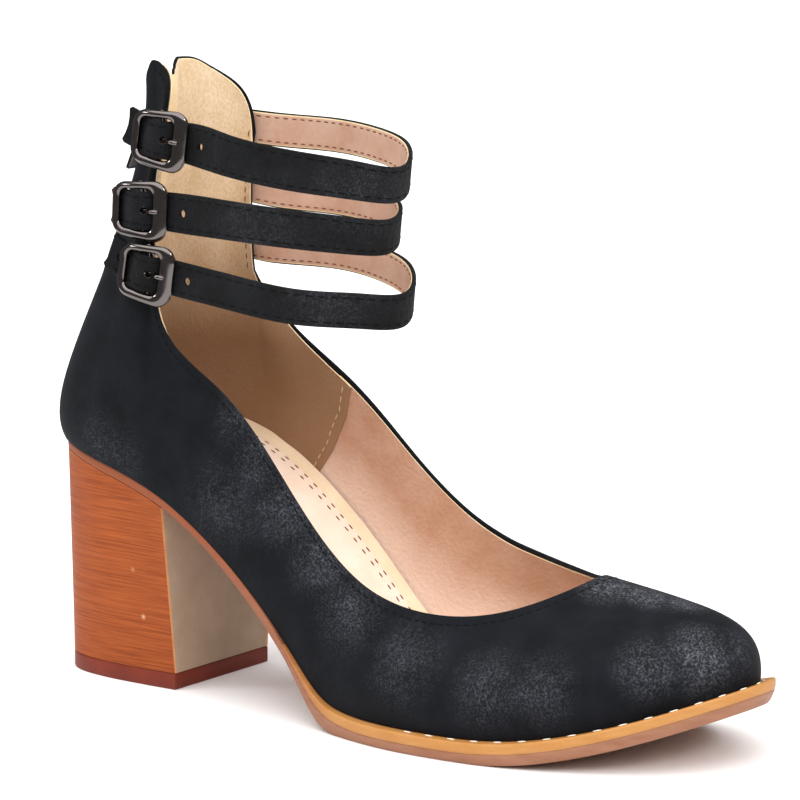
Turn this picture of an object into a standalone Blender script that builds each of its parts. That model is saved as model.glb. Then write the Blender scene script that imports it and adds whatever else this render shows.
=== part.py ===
"""Ankle-strap court shoe for the right foot, with block heel, high split cuff, buckled straps and back zip.

X runs from heel to toe, Y to the inner side of the foot, Z up. Tables are in millimetres and degrees.
"""
import math
from collections import namedtuple

import bmesh
import bpy
import numpy as np
from mathutils import Matrix, Vector

MM = 0.001
CENTRE_X = 113.1
CENTRE_Y = -2.35
GAP = 0.3
WALL = 1.8

# Sole line along the foot: height of the sole's top and bottom, raise of the inner edge, thickness of insole
# and midsole
PROFILE_COLUMNS = ("x", "seat", "tread", "arch", "bed", "mid")
PROFILE = np.array((
    (-16, 73.2, 70.8, 0.0, 7.0, 0.0),
    (-5, 71.8, 69.4, 0.0, 7.0, 0.0),
    (12, 68.8, 66.4, 0.4, 7.0, 0.0),
    (28, 64.8, 62.2, 1.4, 7.0, 0.0),
    (47, 58.2, 55.6, 2.8, 7.0, 0.0),
    (66, 46.9, 43.6, 3.8, 7.0, 0.0),
    (84, 32.6, 28.4, 4.0, 7.0, 0.0),
    (92, 25.2, 20.9, 3.6, 6.8, 0.0),
    (98, 19.4, 14.4, 3.2, 6.4, 0.9),
    (104, 13.6, 7.0, 2.6, 6.0, 1.8),
    (110, 9.2, 1.9, 2.0, 5.6, 2.5),
    (118, 6.8, 0.0, 1.2, 5.2, 2.9),
    (132, 6.0, 0.0, 0.3, 4.8, 3.0),
    (150, 6.0, 0.0, 0.0, 4.5, 3.0),
    (164, 6.2, 0.0, 0.0, 4.5, 3.0),
    (180, 7.8, 1.5, 0.0, 4.5, 3.0),
    (196, 11.3, 5.0, 0.0, 4.2, 3.0),
    (212, 16.3, 10.0, 0.0, 4.0, 3.0),
    (228, 22.2, 15.9, 0.0, 3.8, 3.0),
    (244, 28.2, 21.9, 0.0, 3.6, 3.0),
), float)
MID_START = 95.0
MID_LEAST = 0.4
ARCH_HALF = 24.0
BALL_PRESS = 0.1
# Places along the foot, and how far the tread's edge tucks in under the sole's top edge there
TUCK = ((40, 60, 100, 130, 230), (0.0, 0.6, 0.8, 1.0, 1.6))
INSOLE_INSET = (2.4, 2.2)

# Upper, one row per section from the back of the heel to the toe. foot: place of the feather line. out: its
# half widths on the outer and inner side. top: topline points of both sides. rise, lean: length and outward
# tilt of the wall's start. drop, fall: length and steepness of its end. ledge: how far the sole stands out.
SECTION_COLUMNS = ("foot", "out_o", "out_i", "top_x_o", "top_y_o", "top_z_o", "top_x_i", "top_y_i", "top_z_i",
                   "rise", "lean", "drop", "fall", "ledge")
SECTIONS = np.array((
    (-3.8, 0.0, 0.0, 26.0, 0.0, 184.0, 26.0, 0.0, 184.0, 20, 38, 48, 96, -1.2),
    (0.8, 17.0, 17.0, 28.8, 9.8, 185.8, 28.0, 10.0, 183.5, 19, 30, 47, 94, -1.0),
    (15, 25.5, 25.5, 37.1, 14.3, 183.1, 34.0, 18.0, 179.0, 18, 15, 40, 90, -0.6),
    (28, 27.2, 27.2, 41.2, 16.9, 174.0, 42.2, 22.5, 168.0, 18, 9, 32, 76, -0.4),
    (42, 28.2, 27.2, 39.4, 21.8, 144.0, 42.8, 23.2, 140.0, 18, 7, 26, 86, -0.1),
    (59, 29.2, 26.2, 46.0, 26.1, 109.0, 49.0, 24.3, 111.0, 16, 6, 20, 84, 0.2),
    (83, 30.8, 24.2, 69.0, 25.6, 90.0, 76.0, 25.0, 90.0, 16, 8, 16, 86, 0.7),
    (108, 35.0, 25.0, 94.0, 27.5, 64.5, 99.0, 26.5, 69.0, 14, 10, 14, 80, 2.0),
    (132, 40.0, 30.0, 119.0, 29.5, 43.0, 119.5, 29.0, 52.2, 13, 12, 12, 70, 3.0),
    (154, 41.0, 35.0, 144.0, 29.0, 37.0, 141.0, 27.5, 45.2, 13, 14, 13, 55, 3.2),
    (177, 38.0, 36.0, 162.0, 24.0, 38.8, 159.0, 21.5, 43.4, 15, 14, 18, 38, 3.4),
    (200, 30.0, 31.0, 173.0, 15.5, 42.8, 171.0, 13.0, 44.2, 17, 12, 24, 24, 3.6),
    (218, 17.5, 20.0, 179.2, 7.0, 46.3, 178.2, 6.4, 46.0, 18, 8, 30, 14, 4.0),
    (228, -2.5, 2.5, 181.0, 0.2, 47.6, 181.0, -0.2, 47.6, 18, 4, 34, 11, 4.2),
), float)
SIDE_ROWS = len(SECTIONS) - 1
LOOP_ROWS = 2 * SIDE_ROWS
COLUMNS_PER_ROW = 3
WALL_STEPS = 12

# Split at the back of the cuff: height and width; it fades out over so many section rows. The outer half's
# back corner dips: height and drop.
SLIT = np.array(((116, 0.0), (120, 0.0), (128, 4.4), (170, 4.6), (186, 8.5)), float)
SLIT_FADE = 1.7
OUTER_DIP = np.array(((140, 0.0), (165, 1.0), (186, 6.2)), float)
# Front edge of the cuff's inner half, cut sharp down to the quarter: place along the foot and height
FRONT_TRIM = ((47, 170), (43.2, 162), (41.6, 156), (40.8, 148), (40.2, 140), (39.8, 130), (39.9, 123),
              (40.3, 119.2), (42.0, 117.0), (45.0, 114.5), (49.5, 111.0), (60, 106), (60, 170))
FRONT_TRIM_Y = (14.0, 34.0)

# Heel: flat breast, base half width and squareness, wear plate
BREAST_X = 46.6
BASE_BACK_X = -1.6
BASE_HALF = 22.4
BASE_POWER = 3.6
LIFT = 5.0
HEEL_COLUMNS = 17
# Places along the foot, and how far the heel's top lies inside the feather line there
HEEL_INSET = ((-4, 20, 47), (-1.2, -0.7, -0.2))

# Straps: furthest point forward, heights along the way, tip length past the centre bar and its lift, width in
# front of the buckle, buckle
STRAP_WIDTH = 10.2
TIP_WIDTH = 10.8
STRAP_THICK = 1.5
LOOP_CENTRE_X = 62.0
LOOP_HALF = 26.8
LOOP_SHIFT_Y = 0.8
SEWN_X = (31.0, 35.0, 39.0)
SEWN_DROP = 0.1
STRAP_LEAN = 6.0
Strap = namedtuple("Strap", "name reach sewn far front near tip lift wide buckle_x buckle_y buckle_z turn pitch")
STRAPS = (
    Strap("top", 111.0, 162.5, 161.3, 151.8, 157.3, 12.4, 2.0, 12.0, 45.0, -25.5, 163.1, 8.0, 8.0),
    Strap("middle", 107.2, 144.3, 142.8, 136.6, 140.4, 10.5, 0.0, 11.4, 39.5, -28.0, 142.5, 8.0, 3.0),
    Strap("bottom", 112.3, 127.0, 126.6, 115.9, 118.0, 14.0, 3.8, 10.4, 42.8, -29.6, 124.6, 8.0, 9.0),
)
# Way round the ankle: angle, how much it has widened, then the shares of the sewn, far, front, near and buckle
# heights
STRAP_WAY = (
    (108, 0.0, 0.5, 0.5, 0.0, 0.0, 0.0),
    (82, 0.0, 0.0, 1.0, 0.0, 0.0, 0.0),
    (55, 0.0, 0.0, 0.8, 0.2, 0.0, 0.0),
    (27, 0.0, 0.0, 0.42, 0.58, 0.0, 0.0),
    (0, 0.1, 0.0, 0.0, 1.0, 0.0, 0.0),
    (-27, 0.5, 0.0, 0.0, 0.7, 0.3, 0.0),
    (-55, 0.8, 0.0, 0.0, 0.2, 0.8, 0.0),
    (-80, 1.0, 0.0, 0.0, 0.0, 0.6, 0.4),
)
STRAP_STEPS = 72
# Places along the strap inside the buckle, from the front bar back, before its tip
BUCKLE_STATIONS = (9.5, 7.8, 5.8, 3.9, 2.0, 0.0, -2.0, -3.9, -5.8, -7.8, -9.5)

# Buckle, along the strap, across it and outward from the frame's level; it is wider at its front bar than at
# its back bar
FRAME_ALONG = 7.8
FRAME_ACROSS = (7.0, 8.5)
FRAME_CORNER = 3.5
FRAME_RADIUS = 1.15
BAR_RADIUS = 0.7
BAR_OUT = -1.6
PRONG_RADIUS = 0.55
# Prong from the bar's loop to its tip: along the strap and outward
PRONG_RUN = ((2.4, -0.98), (3.6, 0.52), (4.5, 1.55), (5.4, 1.98), (6.6, 2.06), (8.7, 2.06))
HOLE_ALONG = 3.3
HOLE_RADIUS = 1.3
STRAP_UNDER = -2.35
STRAP_OVER = 1.5
CHAPE_WIDTH = 9.0
CHAPE_THICK = 0.8
CHAPE_STEPS = 26
CHAPE_REACH = (5.0, 8.5, 12.0)

# Back zip
ZIP_LOW = 131.0
ZIP_HIGH = 171.0
CHAIN_HALF = 1.75
CHAIN_THICK = 1.6
SLIDER_Z = 166.0
SLIDER_SIZE = (3.0, 6.4, 9.0)
PULL_SIZE = (1.2, 4.8, 18.0)
PULL_LEAN = 24.0
CROWN_RADIUS = 0.6


def smooth_through(knots, values, x):
    """Natural cubic spline through the given points."""
    knots = np.asarray(knots, float)
    values = np.asarray(values, float)
    x = np.asarray(x, float)
    count = len(knots)
    step = np.diff(knots)
    system = np.eye(count)
    right = np.zeros((count,) + values.shape[1:])
    for i in range(1, count - 1):
        system[i, i - 1] = step[i - 1]
        system[i, i] = 2 * (step[i - 1] + step[i])
        system[i, i + 1] = step[i]
        right[i] = 6 * ((values[i + 1] - values[i]) / step[i] - (values[i] - values[i - 1]) / step[i - 1])
    bend = np.linalg.solve(system, right)
    i = np.clip(np.searchsorted(knots, x) - 1, 0, count - 2)
    width = step[i]
    after = x - knots[i]
    before = knots[i + 1] - x
    if values.ndim > 1:
        width, after, before = width[:, None], after[:, None], before[:, None]
    curve = (bend[i] * before ** 3 + bend[i + 1] * after ** 3) / (6 * width)
    curve = curve + (values[i] / width - bend[i] * width / 6) * before
    return curve + (values[i + 1] / width - bend[i + 1] * width / 6) * after


def profile(column, x):
    """Smooth line of a profile column at x."""
    return smooth_through(PROFILE[:, 0], PROFILE[:, PROFILE_COLUMNS.index(column)], x)


def straight(column, x):
    """Profile column at x, straight between its rows."""
    return np.interp(x, PROFILE[:, 0], PROFILE[:, PROFILE_COLUMNS.index(column)])


def inner_raise(x, y):
    """The sole's inner edge climbs in the arch."""
    share = np.clip(np.asarray(y, float) / ARCH_HALF, 0, 1)
    return straight("arch", x) * share * share * (3 - 2 * share)


def seat(x, y):
    return profile("seat", x) + inner_raise(x, y)


def tread(x, y):
    """Underside of the sole, pressed flat on the floor under the ball of the foot."""
    return np.maximum(profile("tread", x) - BALL_PRESS, 0) + inner_raise(x, y)


def section_columns(*names):
    return SECTIONS[:, [SECTION_COLUMNS.index(name) for name in names]]


def loop_table():
    """Outer rows from back to toe, then inner rows from toe to back.

    Each holds foot x, y, top x, y, z, rise, lean, drop, fall, ledge.
    """
    shared = ("rise", "lean", "drop", "fall", "ledge")
    outer = section_columns("foot", "out_o", "top_x_o", "top_y_o", "top_z_o", *shared)
    inner = section_columns("foot", "out_i", "top_x_i", "top_y_i", "top_z_i", *shared)
    outer[:, (1, 3)] *= -1
    return np.concatenate((outer, inner[-2:0:-1]))


LOOP = loop_table()


def around(t):
    """Smooth closed spline through the loop's rows, at places t in rows."""
    count = len(LOOP)
    system = 4 * np.eye(count) + np.roll(np.eye(count), 1, 0) + np.roll(np.eye(count), -1, 0)
    bend = np.linalg.solve(system, 6 * (np.roll(LOOP, -1, 0) - 2 * LOOP + np.roll(LOOP, 1, 0)))
    t = np.atleast_1d(np.asarray(t, float))
    low = np.floor(t).astype(int) % count
    high = (low + 1) % count
    f = (t - np.floor(t))[:, None]
    g = 1 - f
    return (bend[low] * (g ** 3 - g) + bend[high] * (f ** 3 - f)) / 6 + LOOP[low] * g + LOOP[high] * f


def foot_normal(t):
    """Outward direction of the feather line in plan."""
    change = around(np.asarray(t) + 0.001) - around(np.asarray(t) - 0.001)
    along = change[:, :2] / np.linalg.norm(change[:, :2], axis=1)[:, None]
    return np.stack((along[:, 1], -along[:, 0]), -1)


OUT_SIGN = 1.0 if foot_normal(np.array((8.0,)))[0, 1] < 0 else -1.0


def wall(t, v):
    """Outer face of the upper at loop places t and heights v, 0 at the feather line and 1 at the topline."""
    t = np.atleast_1d(np.asarray(t, float))
    v = np.atleast_1d(np.asarray(v, float))
    rows = around(t)
    foot = np.stack((rows[:, 0], rows[:, 1], seat(rows[:, 0], rows[:, 1]) + GAP), -1)
    top = rows[:, 2:5]
    normal = OUT_SIGN * foot_normal(t)
    out = np.stack((normal[:, 0], normal[:, 1], np.zeros(len(t))), -1)
    up = np.array((0.0, 0.0, 1.0))
    back = foot - top
    back[:, 2] = 0
    back /= np.maximum(np.linalg.norm(back, axis=1), 1e-6)[:, None]
    rise, lean, drop, fall = rows[:, 5], np.radians(rows[:, 6]), rows[:, 7], np.radians(rows[:, 8])
    low = foot + rise[:, None] * (out * np.sin(lean)[:, None] + up * np.cos(lean)[:, None])
    high = top + drop[:, None] * (back * np.cos(fall)[:, None] - up * np.sin(fall)[:, None])
    s = v[None, :, None]
    r = 1 - s
    points = r ** 3 * foot[:, None] + 3 * r * r * s * low[:, None]
    points = points + 3 * r * s * s * high[:, None] + s ** 3 * top[:, None]
    half = 0.5 * np.interp(points[:, :, 2], SLIT[:, 0], SLIT[:, 1])
    outer = np.clip(1 - t / SLIT_FADE, 0, 1)[:, None]
    inner = np.clip(1 - (LOOP_ROWS - t) / SLIT_FADE, 0, 1)[:, None]
    points[:, :, 1] += half * (inner - outer)
    points[:, :, 2] -= np.interp(points[:, :, 2], OUTER_DIP[:, 0], OUTER_DIP[:, 1]) * outer ** 1.5
    return points


def outline(t, off):
    """Feather line moved outward in plan."""
    t = np.atleast_1d(np.asarray(t, float))
    return around(t)[:, :2] + OUT_SIGN * foot_normal(t) * np.asarray(off).reshape(-1, 1)


def ledge(t):
    return around(t)[:, 9]


def cuff_line(z, side):
    """Plan line of the cuff's outer face at height z, from the back to its front edge; side -1 is outer."""
    t = np.linspace(0.3, 4.6, 44)
    t = t if side < 0 else LOOP_ROWS - t
    heights = np.linspace(0.25, 1, 40)
    sheet = wall(t, heights)
    return np.array([[np.interp(z, column[:, 2], column[:, k]) for k in (0, 1)] for column in sheet])


def cuff_point(x, z, side, off):
    """Point at x on the cuff's outer face at height z, moved outward."""
    line = cuff_line(z, side)
    y, ahead, behind = np.interp((x, x + 0.5, x - 0.5), line[:, 0], line[:, 1])
    slope = ahead - behind
    normal = side * np.array((-slope, 1.0)) / math.hypot(slope, 1.0)
    return np.array((x + off * normal[0], y + off * normal[1], z))


# Scene helpers

for old in list(bpy.data.objects):
    bpy.data.objects.remove(old)

parts = bpy.data.collections.new("ankle_strap_court_shoe")
cutters = bpy.data.collections.new("cutters")
bpy.context.scene.collection.children.link(parts)
bpy.context.scene.collection.children.link(cutters)


def material(name, colour, roughness, metallic=0.0):
    made = bpy.data.materials.new(name)
    made.use_nodes = True
    shader = made.node_tree.nodes["Principled BSDF"]
    shader.inputs["Base Color"].default_value = (*colour, 1)
    shader.inputs["Roughness"].default_value = roughness
    shader.inputs["Metallic"].default_value = metallic
    return made


SUEDE = material("black_suede", (0.020, 0.021, 0.024), 0.9)
STRAP = material("strap_leather", (0.022, 0.022, 0.025), 0.8)
SOCK = material("sock_leather", (0.78, 0.62, 0.49), 0.7)
STACK = material("stacked_heel", (0.45, 0.17, 0.07), 0.5)
LIFT_RUBBER = material("lift_rubber", (0.16, 0.05, 0.03), 0.7)
SOLE = material("sole_edge", (0.50, 0.27, 0.17), 0.6)
MIDSOLE = material("midsole_edge", (0.68, 0.40, 0.17), 0.6)
METAL = material("gunmetal", (0.16, 0.15, 0.15), 0.25, 1.0)
ZIP_CLOTH = material("zip_chain", (0.05, 0.05, 0.05), 0.5, 0.6)


def place(points):
    """Table millimetres to part metres."""
    return (np.asarray(points, float) - np.array((CENTRE_X, CENTRE_Y, 0.0))) * MM


def solid(name, verts, faces, finish, group=None):
    """One closed mesh object; doubled corners are joined."""
    mesh = bpy.data.meshes.new(name)
    build = bmesh.new()
    corners = [build.verts.new(p) for p in place(verts)]
    for face in faces:
        if len(set(face)) > 2:
            build.faces.new([corners[i] for i in face])
    bmesh.ops.remove_doubles(build, verts=build.verts, dist=0.00001)
    bmesh.ops.dissolve_degenerate(build, edges=build.edges, dist=0.000001)
    bmesh.ops.recalc_face_normals(build, faces=build.faces)
    build.to_mesh(mesh)
    build.free()
    made = bpy.data.objects.new(name, mesh)
    mesh.materials.append(finish)
    (group or parts).objects.link(made)
    return made


def smooth(made):
    for face in made.data.polygons:
        face.use_smooth = True
    return made


def grid_faces(rows, cols, start=0, flip=False):
    faces = []
    for i in range(rows - 1):
        for j in range(cols - 1):
            a = start + i * cols + j
            quad = (a, a + 1, a + cols + 1, a + cols)
            faces.append(quad[::-1] if flip else quad)
    return faces


def plate(name, top, bottom, finish):
    """Closed solid between two ladders of points with the same rows and columns."""
    rows, cols = top.shape[:2]
    verts = np.concatenate((top.reshape(-1, 3), bottom.reshape(-1, 3)))
    low = rows * cols
    faces = grid_faces(rows, cols) + grid_faces(rows, cols, low, True)
    rim = [j for j in range(cols)]
    rim += [i * cols + cols - 1 for i in range(1, rows)]
    rim += [(rows - 1) * cols + j for j in range(cols - 2, -1, -1)]
    rim += [i * cols for i in range(rows - 2, 0, -1)]
    for a, b in zip(rim, rim[1:] + rim[:1]):
        faces.append((b, a, a + low, b + low))
    return solid(name, verts, faces, finish)


def ladder(outer, inner, across, height):
    """Rows of points from the outer line to the inner line, lifted to height(x, y)."""
    share = np.linspace(0, 1, across)[None, :, None]
    flat = outer[:, None] * (1 - share) + inner[:, None] * share
    return np.concatenate((flat, height(flat[..., 0], flat[..., 1])[..., None]), -1)


def thicken(made, thickness, offset):
    grow = made.modifiers.new("wall", "SOLIDIFY")
    grow.thickness = thickness * MM
    grow.offset = offset
    grow.use_quality_normals = True
    return made


def cut(made, cutter, operation="DIFFERENCE"):
    act = made.modifiers.new("cut", "BOOLEAN")
    act.operation = operation
    act.solver = "EXACT"
    act.object = cutter
    cutter.hide_render = True
    cutter.display_type = "WIRE"
    return made


def tube(name, points, radius, cyclic, finish, group=None, resolution=2):
    """Round wire along points, as a mesh."""
    data = bpy.data.curves.new(name, "CURVE")
    data.dimensions = "3D"
    data.bevel_depth = radius * MM
    data.bevel_resolution = resolution
    data.use_fill_caps = True
    line = data.splines.new("POLY")
    line.points.add(len(points) - 1)
    for point, p in zip(line.points, place(points)):
        point.co = (*p, 1)
    line.use_cyclic_u = cyclic
    wire = bpy.data.objects.new(name + "_wire", data)
    cutters.objects.link(wire)
    bpy.context.view_layer.update()
    mesh = bpy.data.meshes.new_from_object(wire.evaluated_get(bpy.context.evaluated_depsgraph_get()))
    bpy.data.objects.remove(wire)
    build = bmesh.new()
    build.from_mesh(mesh)
    bmesh.ops.remove_doubles(build, verts=build.verts, dist=0.000005)
    bmesh.ops.recalc_face_normals(build, faces=build.faces)
    build.to_mesh(mesh)
    build.free()
    mesh.name = name
    mesh.materials.clear()
    mesh.materials.append(finish)
    made = bpy.data.objects.new(name, mesh)
    (group or parts).objects.link(made)
    return smooth(made)


def block(name, size, centre, turn, finish, group=None, edge=0.0):
    """Box of a size, turned about Y by turn degrees, with rounded edges."""
    mesh = bpy.data.meshes.new(name)
    build = bmesh.new()
    bmesh.ops.create_cube(build, size=1)
    bmesh.ops.scale(build, vec=Vector(size) * MM, verts=build.verts)
    if edge:
        bmesh.ops.bevel(build, geom=build.edges[:], offset=edge * MM, offset_type="OFFSET", segments=2,
                        profile=0.5, affect="EDGES", material=-1)
    spot = Matrix.Translation(Vector(place([centre])[0])) @ Matrix.Rotation(math.radians(turn), 4, "Y")
    bmesh.ops.transform(build, matrix=spot, verts=build.verts)
    build.to_mesh(mesh)
    build.free()
    mesh.materials.append(finish)
    made = bpy.data.objects.new(name, mesh)
    (group or parts).objects.link(made)
    return made


# Upper: one wall round the foot, split at the back

def make_upper():
    t = np.linspace(0, LOOP_ROWS, LOOP_ROWS * COLUMNS_PER_ROW + 1)
    sheet = wall(t, np.linspace(0, 1, WALL_STEPS + 1))
    made = solid("upper", sheet.reshape(-1, 3), grid_faces(len(t), WALL_STEPS + 1), SUEDE)
    outermost = min(made.data.polygons, key=lambda face: face.center.y)
    if outermost.normal.y > 0:
        made.data.flip_normals()
    return cut(smooth(thicken(made, WALL, -1)), trim_cutter())


def trim_cutter():
    """Prism in front of the inner half's front edge."""
    count = len(FRONT_TRIM)
    spots = [(x, y, z) for y in FRONT_TRIM_Y for x, z in FRONT_TRIM]
    sides = [(i, (i + 1) % count, (i + 1) % count + count, i + count) for i in range(count)]
    sides += [tuple(range(count)), tuple(range(count, 2 * count))]
    return solid("front_trim", spots, sides, SUEDE, cutters)


# Sole, heel and insole

SOLE_T = np.linspace(0, SIDE_ROWS, SIDE_ROWS * COLUMNS_PER_ROW + 1)
ACROSS = 7


def both_sides(t, off_outer, off_inner):
    return outline(t, off_outer), outline(LOOP_ROWS - t, off_inner)


def mid_thickness(x):
    return np.maximum(straight("mid", x), MID_LEAST)


def make_midsole():
    start = np.interp(MID_START, around(SOLE_T)[:, 0], SOLE_T)
    t = np.concatenate(((start,), SOLE_T[SOLE_T > start + 0.1]))
    outer, inner = both_sides(t, ledge(t), ledge(LOOP_ROWS - t))
    top = ladder(outer, inner, ACROSS, seat)
    bottom = ladder(outer, inner, ACROSS, lambda x, y: seat(x, y) - mid_thickness(x))
    return plate("midsole", top, bottom, MIDSOLE)


def outsole_top(x, y):
    """Seat of the upper behind the midsole, and the midsole's seat in front."""
    return seat(x, y) - np.where(straight("mid", x) > 0, mid_thickness(x) + GAP, 0.0)


def make_outsole():
    start = np.interp(MID_START, around(SOLE_T)[:, 0], SOLE_T)
    t = np.sort(np.concatenate((SOLE_T, (start - 0.12, start - 0.02))))
    off_o, off_i = ledge(t), ledge(LOOP_ROWS - t)
    tuck = np.interp(around(t)[:, 0], TUCK[0], TUCK[1])
    outer, inner = both_sides(t, off_o, off_i)
    top = ladder(outer, inner, ACROSS, outsole_top)
    outer, inner = both_sides(t, off_o - tuck, off_i - tuck)
    bottom = ladder(outer, inner, ACROSS, tread)
    return plate("outsole", top, bottom, SOLE)


def make_insole():
    t = SOLE_T
    low_inset, top_inset = (np.full(len(t), -inset) for inset in INSOLE_INSET)
    outer, inner = both_sides(t, low_inset, low_inset)
    bottom = ladder(outer, inner, ACROSS, lambda x, y: seat(x, y) + GAP)
    outer, inner = both_sides(t, top_inset, top_inset)
    top = ladder(outer, inner, ACROSS, lambda x, y: seat(x, y) + straight("bed", x))
    return plate("insole", top, bottom, SOCK)


def heel_base(count):
    """Half outline of the heel's foot from the back to the outer breast corner, evenly spaced."""
    a = np.linspace(math.pi / 2, 0, 200)
    x = BREAST_X - (BREAST_X - BASE_BACK_X) * np.sin(a) ** (2 / BASE_POWER)
    y = BASE_HALF * np.cos(a) ** (2 / BASE_POWER)
    return even(np.stack((x, y), -1), count)


def even(line, count):
    run = np.concatenate(((0.0,), np.cumsum(np.linalg.norm(np.diff(line, axis=0), axis=1))))
    want = np.linspace(0, run[-1], count)
    return np.stack([np.interp(want, run, line[:, k]) for k in range(line.shape[1])], -1)


def make_heel():
    t = np.linspace(0, np.interp(BREAST_X, around(SOLE_T)[:, 0], SOLE_T), 120)
    inset = np.interp(around(t)[:, 0], HEEL_INSET[0], HEEL_INSET[1])
    outer = even(outline(t, inset), HEEL_COLUMNS)
    inner = even(outline(LOOP_ROWS - t, inset), HEEL_COLUMNS)
    outer[-1, 0] = inner[-1, 0] = BREAST_X
    top = ladder(outer, inner, ACROSS, lambda x, y: tread(x, y) - GAP)
    foot = heel_base(HEEL_COLUMNS)
    base_outer, base_inner = foot * (1, -1), foot
    bottom = ladder(base_outer, base_inner, ACROSS, lambda x, y: np.full(x.shape, LIFT + GAP))
    heel = plate("heel_block", top, bottom, STACK)
    lift_top = ladder(base_outer, base_inner, 2, lambda x, y: np.full(x.shape, LIFT))
    lift_low = ladder(base_outer, base_inner, 2, lambda x, y: np.zeros(x.shape))
    return heel, plate("top_lift", lift_top, lift_low, LIFT_RUBBER)


# Straps, chapes and buckles

def buckle_axes(row):
    """Centre of a strap's buckle and its directions along the strap, across it and outward."""
    turn, pitch = math.radians(row.turn), math.radians(row.pitch)
    along = np.array((math.cos(turn) * math.cos(pitch), math.sin(turn) * math.cos(pitch), -math.sin(pitch)))
    out = np.array((math.sin(turn), -math.cos(turn), 0.0))
    across = np.cross(out, along)
    return np.array((row.buckle_x, row.buckle_y, row.buckle_z)), along, across, out


def at_buckle(row, along, across, out):
    centre, a, c, o = buckle_axes(row)
    return centre + along * a + across * c + out * o


def strap_wave(along):
    """Outward place of the strap: under the end bars, over the centre bar."""
    inside = np.clip(abs(along) / FRAME_ALONG, 0, 1)
    return STRAP_UNDER + (STRAP_OVER - STRAP_UNDER) * math.cos(inside * math.pi / 2) ** 2


def ribbon(name, low, high, steps, finish, thickness):
    """Strip between two edge lines given at the same stations, thickened both ways."""
    middle = 0.5 * (low + high)
    run = np.concatenate(((0.0,), np.cumsum(np.linalg.norm(np.diff(middle, axis=0), axis=1))))
    want = np.linspace(0, run[-1], steps)
    edges = [smooth_through(run, line, want) for line in (low, high)]
    sheet = np.stack([edges[0] * (1 - k) + edges[1] * k for k in (0.0, 1.0)], 1)
    made = solid(name, sheet.reshape(-1, 3), grid_faces(steps, 2), finish)
    return smooth(thicken(made, thickness, 0))


def strap_edges(row):
    """Lower and upper edge of a strap from its sewn end to its tip."""
    half = STRAP_WIDTH / 2
    wide = row.wide / 2
    off = GAP + STRAP_THICK / 2 + 0.3
    low, high = [], []
    for x in SEWN_X:
        z = row.sewn + SEWN_DROP * (SEWN_X[-1] + 2 - x)
        low.append(cuff_point(x, z - half, 1, off))
        high.append(cuff_point(x, z + half, 1, off))
    lean = math.radians(STRAP_LEAN)
    heights = np.array((row.sewn, row.far, row.front, row.near, row.buckle_z))
    for angle, widened, *shares in STRAP_WAY:
        a = math.radians(angle)
        stand = (half + widened * (wide - half)) * np.array((math.sin(lean), 0, math.cos(lean)))
        x = LOOP_CENTRE_X + (row.reach - LOOP_CENTRE_X) * math.cos(a)
        spot = np.array((x, LOOP_SHIFT_Y + LOOP_HALF * math.sin(a), heights @ shares))
        low.append(spot - stand)
        high.append(spot + stand)
    for along in (*BUCKLE_STATIONS, -row.tip):
        half = np.interp(along, (0, BUCKLE_STATIONS[0]), (min(wide, TIP_WIDTH / 2), wide))
        past = np.clip(-along / row.tip, 0, 1)
        lift = row.lift * past ** 2
        turn = row.lift * past * half / row.tip
        low.append(at_buckle(row, along - turn, lift - half, strap_wave(along)))
        high.append(at_buckle(row, along + turn, lift + half, strap_wave(along)))
    return np.array(low), np.array(high)


def prong_line(row):
    """Wire round the centre bar, out through the strap's hole and on to the front bar."""
    turn = BAR_RADIUS + 0.25 + PRONG_RADIUS
    points = []
    for angle in np.linspace(-265, -38, 10):
        a = math.radians(angle)
        points.append((turn * math.cos(a), BAR_OUT + turn * math.sin(a)))
    return [at_buckle(row, along, 0.0, out) for along, out in (*points, *PRONG_RUN)]


def frame_line(row):
    points = []
    for cx, cy, start in ((1, 1, 0), (-1, 1, 90), (-1, -1, 180), (1, -1, 270)):
        for angle in np.linspace(start, start + 90, 5):
            a = math.radians(angle)
            along = cx * (FRAME_ALONG - FRAME_CORNER) + FRAME_CORNER * math.cos(a)
            across = cy * (FRAME_ACROSS[cx > 0] - FRAME_CORNER) + FRAME_CORNER * math.sin(a)
            points.append(at_buckle(row, along, across, 0.0))
    return points


def bar_line(row):
    """Centre bar, cranked down below the frame's level."""
    side = sum(FRAME_ACROSS) / 2
    half = ((side, 0.0), (side - 0.7, 0.56 * BAR_OUT), (side - 1.4, BAR_OUT))
    ends = [(-across, out) for across, out in half]
    return [at_buckle(row, 0.0, across, out) for across, out in (*ends, *half[::-1])]


def chape_edges(row):
    """Tab from the fold round the centre bar back on to the cuff."""
    turn = BAR_RADIUS + GAP + CHAPE_THICK / 2
    half = CHAPE_WIDTH / 2
    low, high = [], []
    for angle in (150, 110, 70, 30, -10, -50, -90):
        a = math.radians(angle)
        for line, side in ((low, -half), (high, half)):
            line.append(at_buckle(row, turn * math.cos(a), side, BAR_OUT + turn * math.sin(a)))
    off = GAP + CHAPE_THICK / 2 + 0.15
    edge = cuff_line(row.buckle_z, -1)[-1, 0]
    for back in CHAPE_REACH:
        x = min(row.buckle_x, edge + 1.0) - back
        low.append(cuff_point(x, row.buckle_z - half, -1, off))
        high.append(cuff_point(x, row.buckle_z + half, -1, off))
    return np.array(low), np.array(high)


def slot_cutter(row):
    """Slot in the chape's fold, where the prong comes through."""
    spots = [at_buckle(row, along, across, BAR_OUT + out)
             for along in (-3.2, 3.2) for across in (-1.4, 1.4) for out in (-2.6, 2.6)]
    sides = ((0, 1, 3, 2), (4, 6, 7, 5), (0, 4, 5, 1), (2, 3, 7, 6), (0, 2, 6, 4), (1, 5, 7, 3))
    return solid("slot_" + row.name, spots, sides, STRAP, cutters)


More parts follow.
